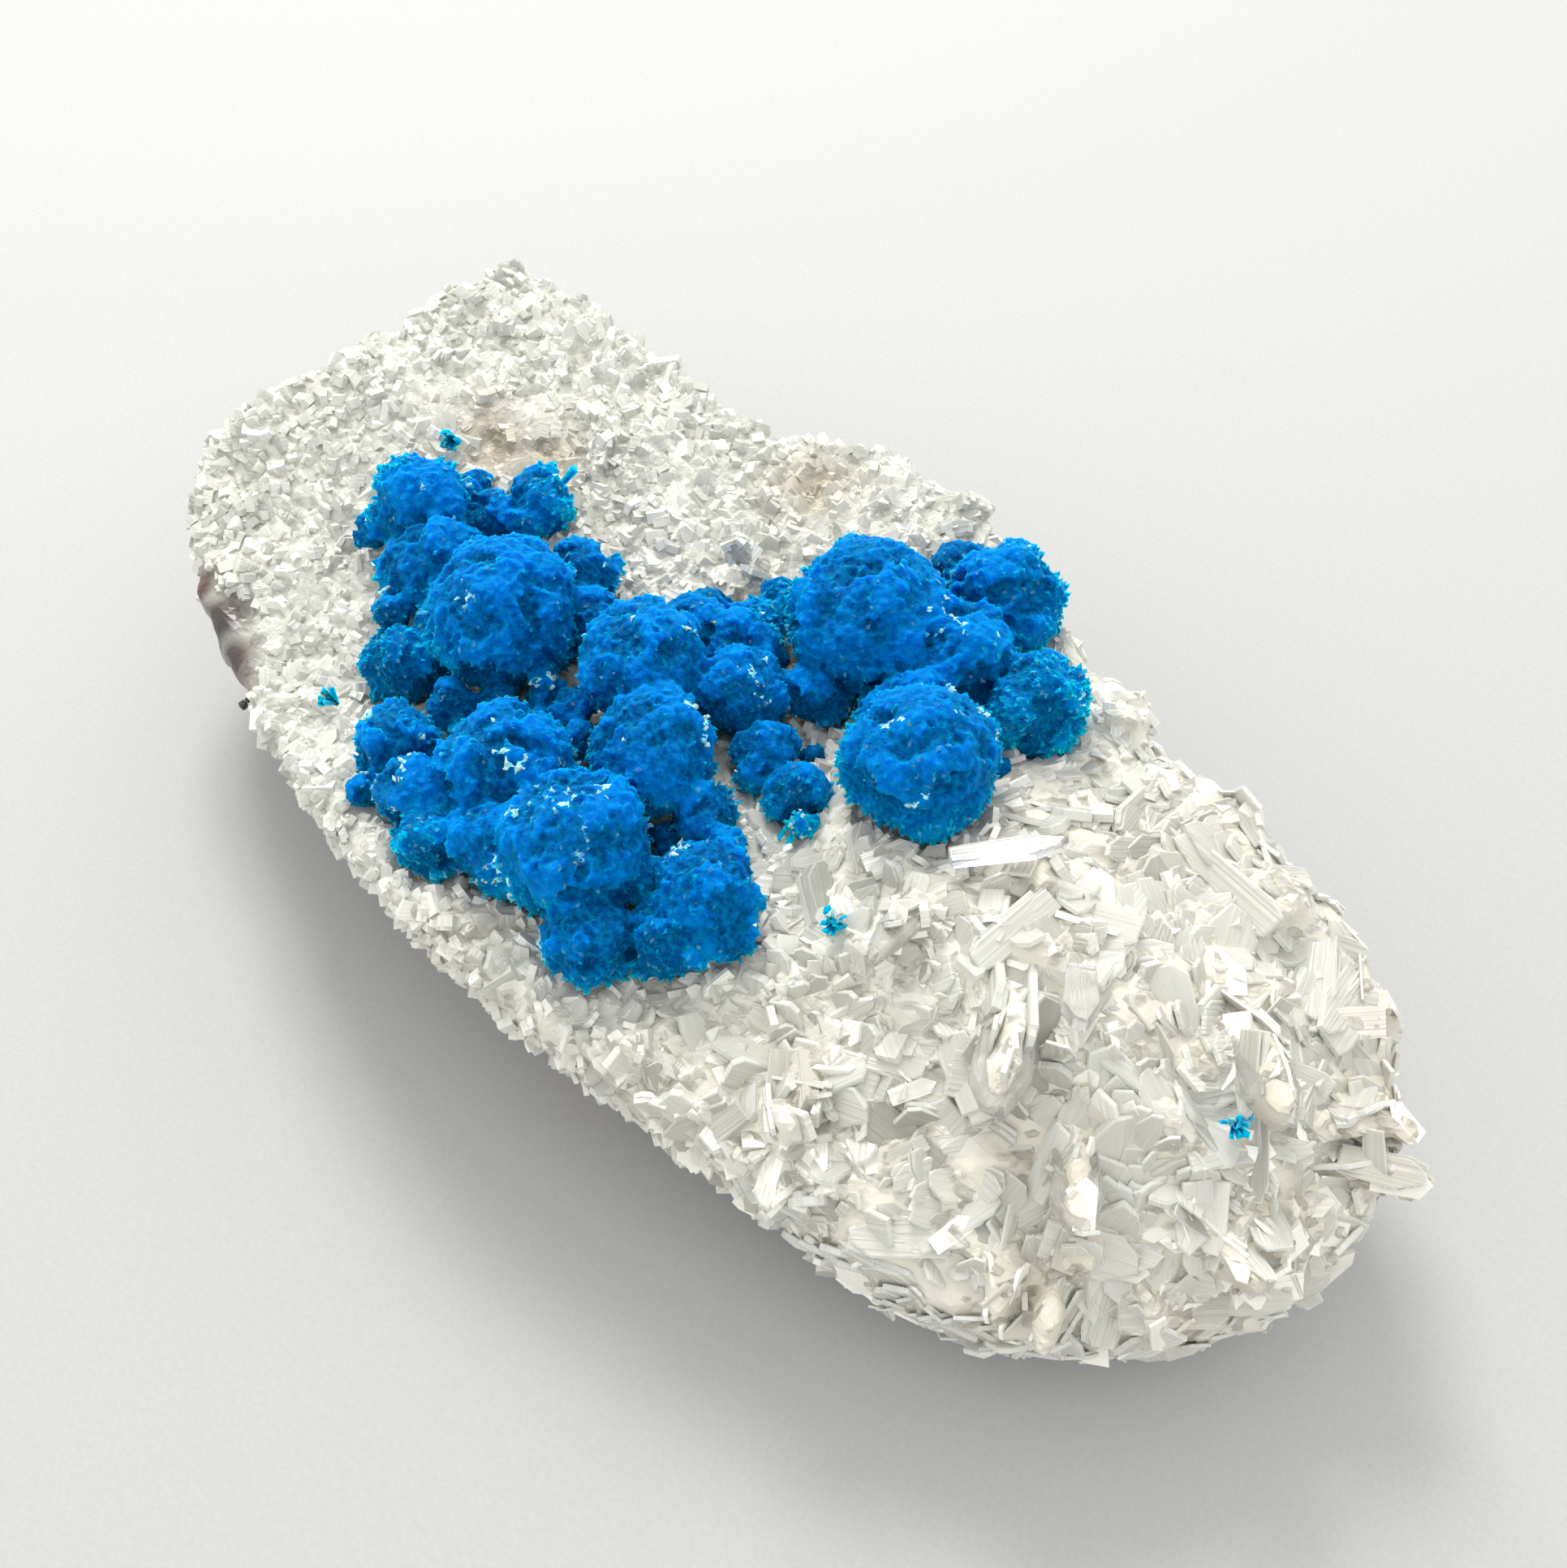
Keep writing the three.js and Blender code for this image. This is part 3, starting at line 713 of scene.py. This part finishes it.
def clear_stilbite_material():
    """The single laths, nearly as clear as glass."""
    material, shader, patches, _ = new_material("Clear stilbite", 150)
    feed(shader, {
        "Base Color": colour_mix(patches, (0.98, 0.97, 0.93), (0.99, 0.99, 0.98)),
        "Roughness": spread(kept(shader, "gloss"), 0, 1, 0.2, 0.04),
        "IOR": 1.5, "Transmission Weight": 0.9,
    })
    bump(shader, striation(shader, 6.0), 0.08 * MM, 0.6)
    return material


def cavansite_material():
    """Deep blue that light soaks into, darkened to navy toward the blades' roots as painted shade,
    teal at thin tips as painted light, with a few near-white glints painted as highlights.
    """
    colours = bpy.context.scene.specimen_cavansite
    material, shader, _, grain = new_material("Cavansite", 260, 2200)
    reach, shade, gloss = (kept(shader, label) for label in ("reach", "shade", "gloss"))
    # Painted shade: the blades darken to navy toward their roots, in the gaps between them.
    deep = colour_mix(spread(reach, 0.84, 1.0), colours.painted_crevice_shade_colour, colours.body_colour)
    # Painted light: toward their tips, side blades, blades in the cyan spots and paler bundles turn
    # cyan, with flecks by the grain.
    pale = combined("ADD", kept(shader, "stain_and_painted_glow"), spread(shade, 0.5, 1, 0, 0.35))
    thin = times(spread(reach, 0.92, 1.08, 0.1, 1), pale)
    thin = combined("MAXIMUM", thin, spread(grain, 0.35, 0.7, 0, 0.3))
    blue = colour_mix(thin, deep, colours.tip_colour)
    # Painted highlight: blades above the glint shade get near-white tips as glints.
    glint = spread(shade, GLINT_SHADE - 0.005, GLINT_SHADE + 0.005)
    painted_glint = times(glint, spread(reach, 0.9, 0.95))
    feed(shader, {
        "Base Color": colour_mix(painted_glint, blue, colours.painted_glint_colour),
        "Roughness": spread(gloss, 0.5, 1, 0.6, 0.25),
        "Coat Weight": spread(gloss, 0.6, 0.62), "Coat Roughness": 0.06, "Coat IOR": 1.5,
        "IOR": 1.54, "Specular IOR Level": 0.05, "Specular Tint": (0.45, 0.8, 1, 1),
        "Subsurface Weight": 1.0, "Subsurface Radius": (0.2, 0.6, 1.0),
        "Subsurface Scale": 1.4 * MM,
    })
    bump(shader, grain, 0.25 * MM, 0.8)
    return material


# ---- Pieces ----


class SPECIMEN_OT_basalt(bpy.types.Operator):
    """Break up the surface of the basalt, keeping its flat foot"""

    bl_idname = "specimen.basalt"
    bl_label = "Basalt"

    def execute(self, context):
        rough = context.scene.specimen_basalt.roughness
        piece = merged_copy("basalt_matrix", "basalt_rock")
        remesh_evenly(piece, ROCK_VOXEL)
        apply_modifiers(piece)
        points, normals = vertex_arrays(piece.data)
        foot = points[:, 2] < FOOT_HEIGHT
        for index, point in enumerate(points):
            place = Vector(point) / MM
            ridge = noise.turbulence(place * 0.22, 4, True) - 0.8
            points[index] += normals[index] * rough * ridge
        points[:, 2] = np.maximum(points[:, 2], 0)
        points[foot, 2] = 0
        move_points(piece, points)
        finish_piece(piece, ["basalt_matrix"], basalt_material())
        return {"FINISHED"}


def crust_skin():
    """The crust softened and made lumpy, as the ground that the blades grow from."""
    piece = merged_copy("stilbite_crust", "stilbite_skin")
    remesh_evenly(piece, SKIN_VOXEL)
    smooth = piece.modifiers.new("Soften", "SMOOTH")
    smooth.factor = 0.6
    smooth.iterations = 9
    apply_modifiers(piece)
    points, normals = vertex_arrays(piece.data)
    for index, point in enumerate(points):
        place = Vector(point) / MM
        lump = noise.fractal(place * 0.3, 0.9, 2.1, 4)
        growth = growth_at(place.x)
        rise = mix(-0.1, 0.15, growth)
        points[index] += normals[index] * MM * (mix(0.7, 0.35, growth) * lump + rise)
    move_points(piece, points)
    return piece


def surface_samples(left_gap, right_gap, random):
    """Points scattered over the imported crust, about as far apart as the gap at their end."""
    tries, closest = 3, 0.8

    def gap_at(x):
        """The gap at an x in metres."""
        return mix(left_gap, right_gap, growth_at(x / MM))

    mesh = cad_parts["stilbite_crust"].data
    mesh.calc_loop_triangles()
    corners = np.empty(len(mesh.loop_triangles) * 3, np.int32)
    mesh.loop_triangles.foreach_get("vertices", corners)
    points = vertex_arrays(mesh)[0]
    a, b, c = (points[corners.reshape(-1, 3)[:, k]] for k in range(3))
    area = np.linalg.norm(np.cross(b - a, c - a), axis=1) / 2
    weight = area / gap_at((a[:, 0] + b[:, 0] + c[:, 0]) / 3) ** 2
    count = int(weight.sum() * tries)
    picked = random.choice(len(weight), count, p=weight / weight.sum())
    u, v = random.random(count), random.random(count)
    flip = u + v > 1
    u[flip], v[flip] = 1 - u[flip], 1 - v[flip]
    spots = a[picked] + (b - a)[picked] * u[:, None] + (c - a)[picked] * v[:, None]
    gaps = gap_at(spots[:, 0]) * closest
    cells = np.floor(spots / gaps.max()).astype(int)
    steps = [(x, y, z) for x in (-1, 0, 1) for y in (-1, 0, 1) for z in (-1, 0, 1)]
    taken = {}
    kept = []
    for index, (spot, gap, (cx, cy, cz)) in enumerate(zip(spots, gaps, cells)):
        near = [other for x, y, z in steps for other in taken.get((cx + x, cy + y, cz + z), ())]
        if near and np.min(np.sum((np.array(near) - spot) ** 2, axis=1)) < gap ** 2:
            continue
        taken.setdefault((cx, cy, cz), []).append(spot)
        kept.append(index)
    return spots[kept]


def onto_skin(spots, skin, rock):
    """Points moved to the skin, its normals there, and which lie in the open on the crust."""
    places, normals = np.empty(spots.shape), np.empty(spots.shape)
    usable = np.ones(len(spots), bool)
    for index, spot in enumerate(spots):
        place, normal, _, _ = skin.find_nearest(Vector(spot))
        places[index], normals[index] = place, normal
        usable[index] = rock.ray_cast(place, normal, OPEN_HEIGHT)[0] is None
    usable &= (deepest_in(places / MM) < 0.05) & (bare_at(places / MM) < 0.5)
    return places, normals, usable


def height_over(skin, points):
    """How far each point stands outside the skin, in metres, and below 0 inside it."""
    heights = np.empty(len(points))
    for index, point in enumerate(points):
        point = Vector(point)
        spot, normal, _, away = skin.find_nearest(point)
        heights[index] = away if (point - spot).dot(normal) > 0 else -away
    return heights


def grow_stacks(skin, spots, lengths, most, random):
    """Places for the plates: at each spot a stack of near-parallel plates, most of them lying low.

    spots holds the place, the way out and whether it is usable for each stack, lengths how long
    its plates are in metres, and most the number of plates in the tallest stack.
    """
    settings = bpy.context.scene.specimen_stilbite
    spots, normals, usable = spots
    spot_count = len(spots)
    growth = growth_at(spots[:, 0] / MM)
    # How far each stack leans off the normal, in radians; a few stand up among the low ones.
    lean = mix(0.85, 1.32, growth) + random.uniform(-0.25, 0.15, spot_count)
    standing = random.random(spot_count) < 0.06 * (1 - growth)
    lean = np.where(standing, lean * 0.6, lean)
    # Neighbouring stacks lean much the same way, as they grew together.
    shifts = (Vector((0, 0, 0)), Vector((31, 0, 0)), Vector((0, 57, 0)))
    drift = np.array([
        [noise.noise(Vector(spot) / MM * 0.11 + shift) for shift in shifts] for spot in spots
    ])
    sideways = square_to(normals, drift * 2 + random.normal(size=spots.shape) * 0.4)
    axes = normals * np.cos(lean)[:, None] + sideways * np.sin(lean)[:, None]
    facing = square_to(axes, normals + random.normal(size=spots.shape) * 0.3)
    count = random.integers(1, most + 1, spot_count)
    owner = np.repeat(np.arange(spot_count), count)
    place = np.concatenate([np.arange(n) - (n - 1) / 2 for n in count])
    total = len(owner)
    length = lengths[owner] * (0.86 + 0.22 * random.random(total))
    width = lengths * random.uniform(0.32, 0.52, spot_count)
    width = width[owner] * (0.85 + 0.3 * random.random(total))
    thick = width * settings.thickness * mix(1.25, 0.38, growth[owner])
    thick = thick * random.uniform(0.7, 1.3, total)
    directions = unit(
        axes[owner] + facing[owner] * (place * 0.06)[:, None]
        + random.normal(size=(total, 3)) * 0.03
    )
    broad = square_to(directions, facing[owner] + random.normal(size=(total, 3)) * 0.05)
    across = np.cross(directions, broad)
    # The plates of a stack lie against each other, slid sideways, with most of each sunk in.
    feet = spots[owner] + broad * (place * thick * 0.4)[:, None]
    feet = feet + across * (width * random.uniform(-0.35, 0.35, total))[:, None]
    feet = feet - directions * (length * mix(0.6, 0.74, growth[owner]))[:, None]
    shades = random.random(spot_count)[owner] * 0.7 + random.random(total) * 0.3
    shades = shades * mix(0.35, 1, growth[owner] ** 2)
    # No end of a plate may stand far off the crust, and no tip may reach into a rosette.
    tips = feet + directions * length[:, None]
    half = across * width[:, None] / 2
    proud = np.max([
        height_over(skin, end + side * half) for end in (feet, tips) for side in (-1, 1)
    ], axis=0) > settings.most_proud
    clear = usable[owner] & ~proud & (deepest_in(tips / MM) < 0.06)
    places = {
        "feet": feet, "directions": directions, "broad": broad,
        "sizes": np.stack([width, length, thick], axis=1), "shades": shades,
        "gloss": random.random(total), "stain_and_painted_glow": stain_at(spots / MM)[owner],
        "form": random.random(total),
    }
    return chosen(places, clear)


class SPECIMEN_OT_stilbite(bpy.types.Operator):
    """Grow stilbite blades over the crust, small at the left end and large at the right"""

    bl_idname = "specimen.stilbite"
    bl_label = "Stilbite crust"

    def fused_ground(self, skin, templates, places):
        """The skin and the small plates, slightly shrunk, grown into one mass."""
        places = dict(places)
        places["sizes"] = places["sizes"] * np.array([0.9, 0.86, 0.9])
        parts = stamp_places(templates, places)
        points = vertex_arrays(skin.data)[0]
        loops = np.empty(len(skin.data.loops), np.int32)
        skin.data.loops.foreach_get("vertex_index", loops)
        totals = np.empty(len(skin.data.polygons), np.int32)
        skin.data.polygons.foreach_get("loop_total", totals)
        flat = np.zeros(len(points))
        parts.append({
            "points": points, "loops": loops, "totals": totals, "reach": flat, "across": flat,
            "shade": mix(0.2, 0.4, growth_at(points[:, 0] / MM)),
            "gloss": flat, "stain_and_painted_glow": stain_at(points / MM),
        })
        bpy.data.objects.remove(skin)
        ground = joined_piece("stilbite_ground", parts)
        fuse(ground, GROUND_VOXEL, ("across", "shade", "stain_and_painted_glow"))
        keep_values(ground.data, "bare", bare_at(vertex_arrays(ground.data)[0] / MM))
        return ground

    def crisp_plates(self, templates, places):
        """Some of the small plates again, whole and sharp, left out where tan or rock shows."""
        growth = growth_at(places["feet"][:, 0] / MM)
        some = places["form"] < mix(0.75, 0.3, growth)
        some &= (places["stain_and_painted_glow"] < 0.75) & (bare_at(places["feet"] / MM) < 0.4)
        places = chosen(places, some)
        places["form"] = places["form"] / 0.76
        return joined_piece("stilbite_small_plates", stamp_places(templates, places))

    def laths(self, template):
        """The single laths, each set a third of its length deeper than its foot."""
        feet = np.array([foot for foot, _, _, _ in LATHS], float)
        runs = np.array([tip for _, tip, _, _ in LATHS], float) - feet
        directions = unit(runs)
        sizes = np.array([
            (width, np.linalg.norm(run) * 1.3, thick)
            for (_, _, width, thick), run in zip(LATHS, runs)
        ])
        flat = np.zeros(len(LATHS))
        parts = [stamp(template, {
            "feet": (feet - runs * 0.3) * MM, "directions": directions,
            "broad": square_to(directions, np.tile(UP, (len(LATHS), 1))),
            "sizes": sizes * MM, "shades": flat + 0.9, "gloss": flat + 1, "stain_and_painted_glow": flat,
        })]
        return joined_piece("stilbite_laths", parts)

    def execute(self, context):
        settings = context.scene.specimen_stilbite
        random = np.random.default_rng(STILBITE_SEED)
        ground = crust_skin()
        skin = bvh_tree(ground.data)
        rock = bvh_tree(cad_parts["basalt_matrix"].data)
        small = [tablet_template(outline, 0) for outline in SMALL_OUTLINES]
        large = [tablet_template(outline, 0.045) for outline in LARGE_OUTLINES]

        gap = settings.spacing_left
        spots = surface_samples(gap, gap * 2, random)
        lengths = settings.length_left * random.uniform(0.7, 1.35, len(spots))
        lengths *= mix(1, 1.7, growth_at(spots[:, 0] / MM))
        places = grow_stacks(skin, onto_skin(spots, skin, rock), lengths, 3, random)
        ground = self.fused_ground(ground, small, places)
        small_plates = self.crisp_plates(small, places)

        gap = settings.spacing_right
        spots = surface_samples(gap * 1.6, gap, random)
        spots, normals, usable = onto_skin(spots, skin, rock)
        growth = growth_at(spots[:, 0] / MM)
        # The large plates end raggedly where the small ones take over.
        usable &= growth + random.uniform(-0.12, 0.12, len(spots)) > 0.12
        lengths = mix(settings.length_left * 1.4, settings.length_right, growth)
        lengths *= random.uniform(0.6, 1.15, len(spots))
        places = grow_stacks(skin, (spots, normals, usable), lengths, 3, random)
        large_plates = joined_piece("stilbite_large_plates", stamp_places(large, places))

        small_finish = stilbite_material("Small stilbite", edge=0.2, see_through=0)
        large_finish = stilbite_material("Large stilbite", edge=1, see_through=0.4)
        finish_piece(ground, ["stilbite_crust"], stilbite_ground_material())
        finish_piece(small_plates, [], small_finish)
        finish_piece(large_plates, [], large_finish)
        finish_piece(self.laths(large[0]), [], clear_stilbite_material())
        return {"FINISHED"}


def spread_directions(count, random, jitter):
    """Directions spread evenly over a sphere, each shaken a little."""
    index = np.arange(count) + 0.5
    height = 1 - 2 * index / count
    turn = index * math.pi * (3 - math.sqrt(5)) + random.random() * 9
    flat = np.sqrt(1 - height ** 2)
    even = np.stack([flat * np.cos(turn), flat * np.sin(turn), height], axis=1)
    return unit(even + random.normal(size=even.shape) * jitter)


class Rosette:
    """The bundles of one rosette, in millimetres, and how far its surface reaches each way."""

    def __init__(self, middle, radius, seed, settings):
        self.middle = middle
        self.radius = radius
        self.random = np.random.default_rng(seed)
        gap = settings.bundle_spacing / MM
        count = max(12, int(4 * math.pi * (radius / gap) ** 2))
        self.axes = spread_directions(count, self.random, 0.4 * gap / radius)
        # Each bundle is wider one way than the other, so its blades stand in a wedge.
        self.long_way = square_to(self.axes, self.random.normal(size=self.axes.shape))
        shift = Vector((seed, 0, 0))
        swell = [noise.noise(Vector(axis) * radius * 0.42 + shift) for axis in self.axes]
        self.rise = self.random.normal(size=count) * 0.22 + np.array(swell) * 1.3

    def reach(self, directions):
        """The bundle that owns each direction, and the reach of the surface there."""
        gaps = directions[:, None, :] - self.axes[None, :, :]
        along = np.einsum("ijk,jk->ij", gaps, self.long_way)
        apart = np.sqrt(np.maximum(np.sum(gaps ** 2, axis=2) - 0.65 * along ** 2, 0))
        owner = np.argmin(apart, axis=1)
        away = np.minimum(apart[np.arange(len(owner)), owner] * self.radius / 1.1, 1.3)
        reaches = self.radius - 0.3 + self.rise[owner] - 0.4 * away ** 2
        return owner, np.minimum(reaches, self.radius + 0.3)


def painted_side_glow(directions):
    """How much paler the blades on a rosette's sides are than those on top, as painted light
    showing through them.
    """
    return np.clip((0.55 - directions[:, 2]) * 0.9, 0, 0.6)


def bundled_blades(rosette, settings):
    """Blades packed over a rosette: one rounded bundle beside the next, each a little fan."""
    random, radius, middle = rosette.random, rosette.radius, rosette.middle
    gap = settings.blade_spacing / MM
    count = int(4 * math.pi * (radius / gap) ** 2)
    directions = spread_directions(count, random, 0.3 * gap / radius)
    own = np.argmin(np.linalg.norm(ROSETTES[:, :3] - middle, axis=1))
    shown = (deepest_in(middle + directions * radius, own) < 0.06) & (directions[:, 2] > -0.7)
    directions = directions[shown]
    total = len(directions)
    owner, reaches = rosette.reach(directions)
    reaches = reaches + random.uniform(-0.2, 0.12, total)
    axis = rosette.axes[owner]
    ways = unit(directions + (directions - axis) * 0.3 + random.normal(size=(total, 3)) * 0.03)
    broad = square_to(ways, rosette.long_way[owner] + random.normal(size=(total, 3)) * 0.35)
    length = np.minimum(reaches * 0.5, 2.0)
    wide = settings.blade_width / MM * random.uniform(0.7, 1.5, total)
    thick = settings.blade_width / MM * random.uniform(0.6, 0.95, total)
    shades = random.random(len(rosette.axes))[owner] * 0.75 + random.random(total) * 0.25
    return {
        "feet": (middle + ways * (reaches - length)[:, None]) * MM, "directions": ways,
        "broad": broad, "sizes": np.stack([wide, length, thick], axis=1) * MM,
        "shades": shades, "gloss": random.random(total), "form": random.random(total),
        # Painted light: blades on the sides and in the cyan spots are marked to turn paler cyan at
        # their tips.
        "stain_and_painted_glow": painted_side_glow(ways) + soft_spots(middle + ways * radius, CYAN),
    }


def stamp_rosette(templates, rosette, settings):
    """A rosette's blades and core, to be fused, and those blades that also stay crisp.

    Their reach is kept as the distance from the middle over the radius.
    """
    places = bundled_blades(rosette, settings)
    parts = stamp_places(templates, places)
    parts.append(rosette_core(rosette))
    thin = places["stain_and_painted_glow"] + places["form"] * 0.5 > 0.6
    crisp = (places["shades"] > GLINT_SHADE) | thin | (places["form"] > 0.8)
    crisp = stamp_places(templates, chosen(places, crisp))
    for part in parts + crisp:
        away = np.linalg.norm(part["points"] / MM - rosette.middle, axis=1)
        part["reach"] = away / rosette.radius
    return parts, crisp


def lone_blades(templates, feet, tips, widths, random):
    """Blades given one by one by foot, tip and width, in millimetres."""
    feet, tips, widths = np.array(feet, float), np.array(tips, float), np.array(widths, float)
    runs = tips - feet
    ways = unit(runs)
    count = len(feet)
    places = {
        "feet": feet * MM, "directions": ways,
        "broad": square_to(ways, random.normal(size=ways.shape)),
        "sizes": np.stack([widths, np.linalg.norm(runs, axis=1), widths * 0.6], axis=1) * MM,
        "shades": random.random(count), "gloss": random.random(count),
        # Lone blades get the full painted light of thin tips.
        "form": random.random(count), "stain_and_painted_glow": np.ones(count),
    }
    parts = stamp_places(templates, places)
    for part in parts:
        part["reach"] = 0.9 + 0.16 * part["reach"]
    return parts


def rosette_core(rosette):
    """A closed ball just under the blades, swelling with their bundles, that fills the gaps."""
    shape = bmesh.new()
    bmesh.ops.create_icosphere(shape, subdivisions=4 if rosette.radius > 4.4 else 3, radius=1)
    core = template_from(shape)
    directions = unit(core["corners"])
    reaches = rosette.reach(directions)[1] - 0.16
    count = len(directions)
    return {
        "points": (rosette.middle + directions * reaches[:, None]) * MM,
        "loops": core["loops"], "totals": core["totals"],
        "across": np.zeros(count), "shade": np.full(count, 0.3),
        # The core's sides are marked for the same painted light.
        "gloss": np.zeros(count), "stain_and_painted_glow": painted_side_glow(directions),
    }


class SPECIMEN_OT_cavansite(bpy.types.Operator):
    """Build every rosette and small spray of cavansite from radiating blades"""

    bl_idname = "specimen.cavansite"
    bl_label = "Cavansite rosettes"

    def execute(self, context):
        settings = context.scene.specimen_cavansite
        templates = [
            shard_template(3, 0.5, 0.12), shard_template(3, 0.45, -0.16),
            shard_template(4, 0.4, 0.1),
        ]
        material = cavansite_material()
        random = np.random.default_rng(CAVANSITE_SEED)
        seed = FIRST_ROSETTE_SEED
        for node, balls in CLUSTERS.items():
            parts, crisp = [], []
            for x, y, z, radius in balls:
                rosette = Rosette(np.array([x, y, z]), radius, seed, settings)
                body, blades = stamp_rosette(templates, rosette, settings)
                parts += body
                crisp += blades
                seed += 1
            own = NEEDLES.get(node)
            if own:
                crisp += lone_blades(templates, *zip(*own), random)
            piece = joined_piece(f"{node}_velvet", parts)
            fuse(piece, VELVET_VOXEL, ("reach", "shade", "stain_and_painted_glow"))
            finish_piece(piece, [node], material)
            finish_piece(joined_piece(f"{node}_crystals", crisp), [], material)
        for node, (foot, way, reach) in SPRAYS.items():
            count = BLADES_PER_SPRAY
            ways = unit(unit(np.array(way, float)) + random.normal(size=(count, 3)) * 0.33)
            tips = np.array(foot) + ways * reach * random.uniform(0.7, 1, (count, 1))
            feet = np.tile(foot, (count, 1))
            widths = random.uniform(0.5, 0.8, count)
            parts = lone_blades(templates, feet, tips, widths, random)
            finish_piece(joined_piece(f"{node}_crystals", parts), [node], material)
        return {"FINISHED"}


# ---- Stage ----

VIEW_TARGET = Vector((4, -1, 20)) * MM
VIEW_AZIMUTH = math.radians(42)
VIEW_ELEVATION = math.radians(54)
VIEW_DISTANCE = 138 * MM
FLOOR_HALF_WIDTH = 1.5


def aim(thing, place, target):
    """Puts a light or camera at a place and turns it to look at a target."""
    place, target = Vector(place), Vector(target)
    turn = (target - place).to_track_quat("-Z", "Y").to_matrix().to_4x4()
    thing.matrix_world = Matrix.Translation(place) @ turn


def area_light(name, place, target, size, power, colour):
    """A square soft light."""
    light = bpy.data.lights.new(name, "AREA")
    light.shape = "RECTANGLE"
    light.size = size
    light.size_y = size
    light.energy = power
    light.color = colour
    aim(new_object(name, light), place, target)


class SPECIMEN_OT_stage(bpy.types.Operator):
    """Set the pale floor, the soft studio light and the camera"""

    bl_idname = "specimen.stage"
    bl_label = "Stage"

    def execute(self, context):
        shape = bmesh.new()
        bmesh.ops.create_grid(shape, x_segments=1, y_segments=1, size=FLOOR_HALF_WIDTH)
        mesh = bpy.data.meshes.new("floor")
        shape.to_mesh(mesh)
        shape.free()
        floor = new_object("floor", mesh)
        material, shader, _, grain = new_material("Pale paper", grain_scale=2500)
        feed(shader, {
            "Base Color": colour_mix(grain, (0.41, 0.41, 0.405), (0.44, 0.44, 0.435)),
            "Roughness": 0.85,
        })
        mesh.materials.append(material)

        level = math.cos(VIEW_ELEVATION)
        back = Vector((
            math.sin(VIEW_AZIMUTH) * level, -math.cos(VIEW_AZIMUTH) * level,
            math.sin(VIEW_ELEVATION),
        ))
        camera_data = bpy.data.cameras.new("camera")
        camera_data.lens = 42
        camera_data.sensor_width = 36
        camera_data.clip_start = 1 * MM
        camera = new_object("camera", camera_data)
        aim(camera, VIEW_TARGET + back * VIEW_DISTANCE, VIEW_TARGET)
        context.scene.camera = camera

        world = bpy.data.worlds.new("Soft room")
        world.use_nodes = True
        sky = world.node_tree.nodes["Background"]
        feed(sky, {"Color": (1.0, 1.0, 1.0, 1), "Strength": 1.3})
        context.scene.world = world
        context.scene.view_settings.view_transform = "Standard"
        area_light("key", (-0.28, 0.2, 0.42), VIEW_TARGET, 0.18, 2.4, (1, 0.99, 0.96))
        return {"FINISHED"}


class SPECIMEN_PT_panel(bpy.types.Panel):
    """Lists the pieces of the specimen and what can be changed on them"""

    bl_label = "Cavansite specimen"
    bl_idname = "SPECIMEN_PT_panel"
    bl_space_type = "VIEW_3D"
    bl_region_type = "UI"
    bl_category = "Specimen"

    def draw(self, context):
        layout = self.layout
        for operator in OPERATORS:
            layout.operator(operator.bl_idname)
        for group in GROUPS:
            settings = getattr(context.scene, group)
            box = layout.box()
            box.label(text=group.removeprefix("specimen_").capitalize())
            for name in settings.bl_rna.properties.keys():
                if name not in ("rna_type", "name"):
                    box.prop(settings, name)


GROUPS = {
    "specimen_stilbite": StilbiteSettings,
    "specimen_cavansite": CavansiteSettings,
    "specimen_basalt": BasaltSettings,
}
OPERATORS = (
    SPECIMEN_OT_basalt, SPECIMEN_OT_stilbite, SPECIMEN_OT_cavansite, SPECIMEN_OT_stage,
)
CLASSES = (*GROUPS.values(), *OPERATORS, SPECIMEN_PT_panel)


def register():
    """Makes the settings, the operators and the panel known to Blender."""
    for kind in CLASSES:
        bpy.utils.register_class(kind)
    for name, group in GROUPS.items():
        setattr(bpy.types.Scene, name, PointerProperty(type=group))


def unregister():
    """Takes them out again."""
    for name in GROUPS:
        delattr(bpy.types.Scene, name)
    for kind in reversed(CLASSES):
        bpy.utils.unregister_class(kind)


def main():
    """Builds the specimen and its stage."""
    register()
    bpy.ops.specimen.basalt()
    bpy.ops.specimen.stilbite()
    bpy.ops.specimen.cavansite()
    bpy.ops.specimen.stage()


if __name__ == "__main__":
    main()
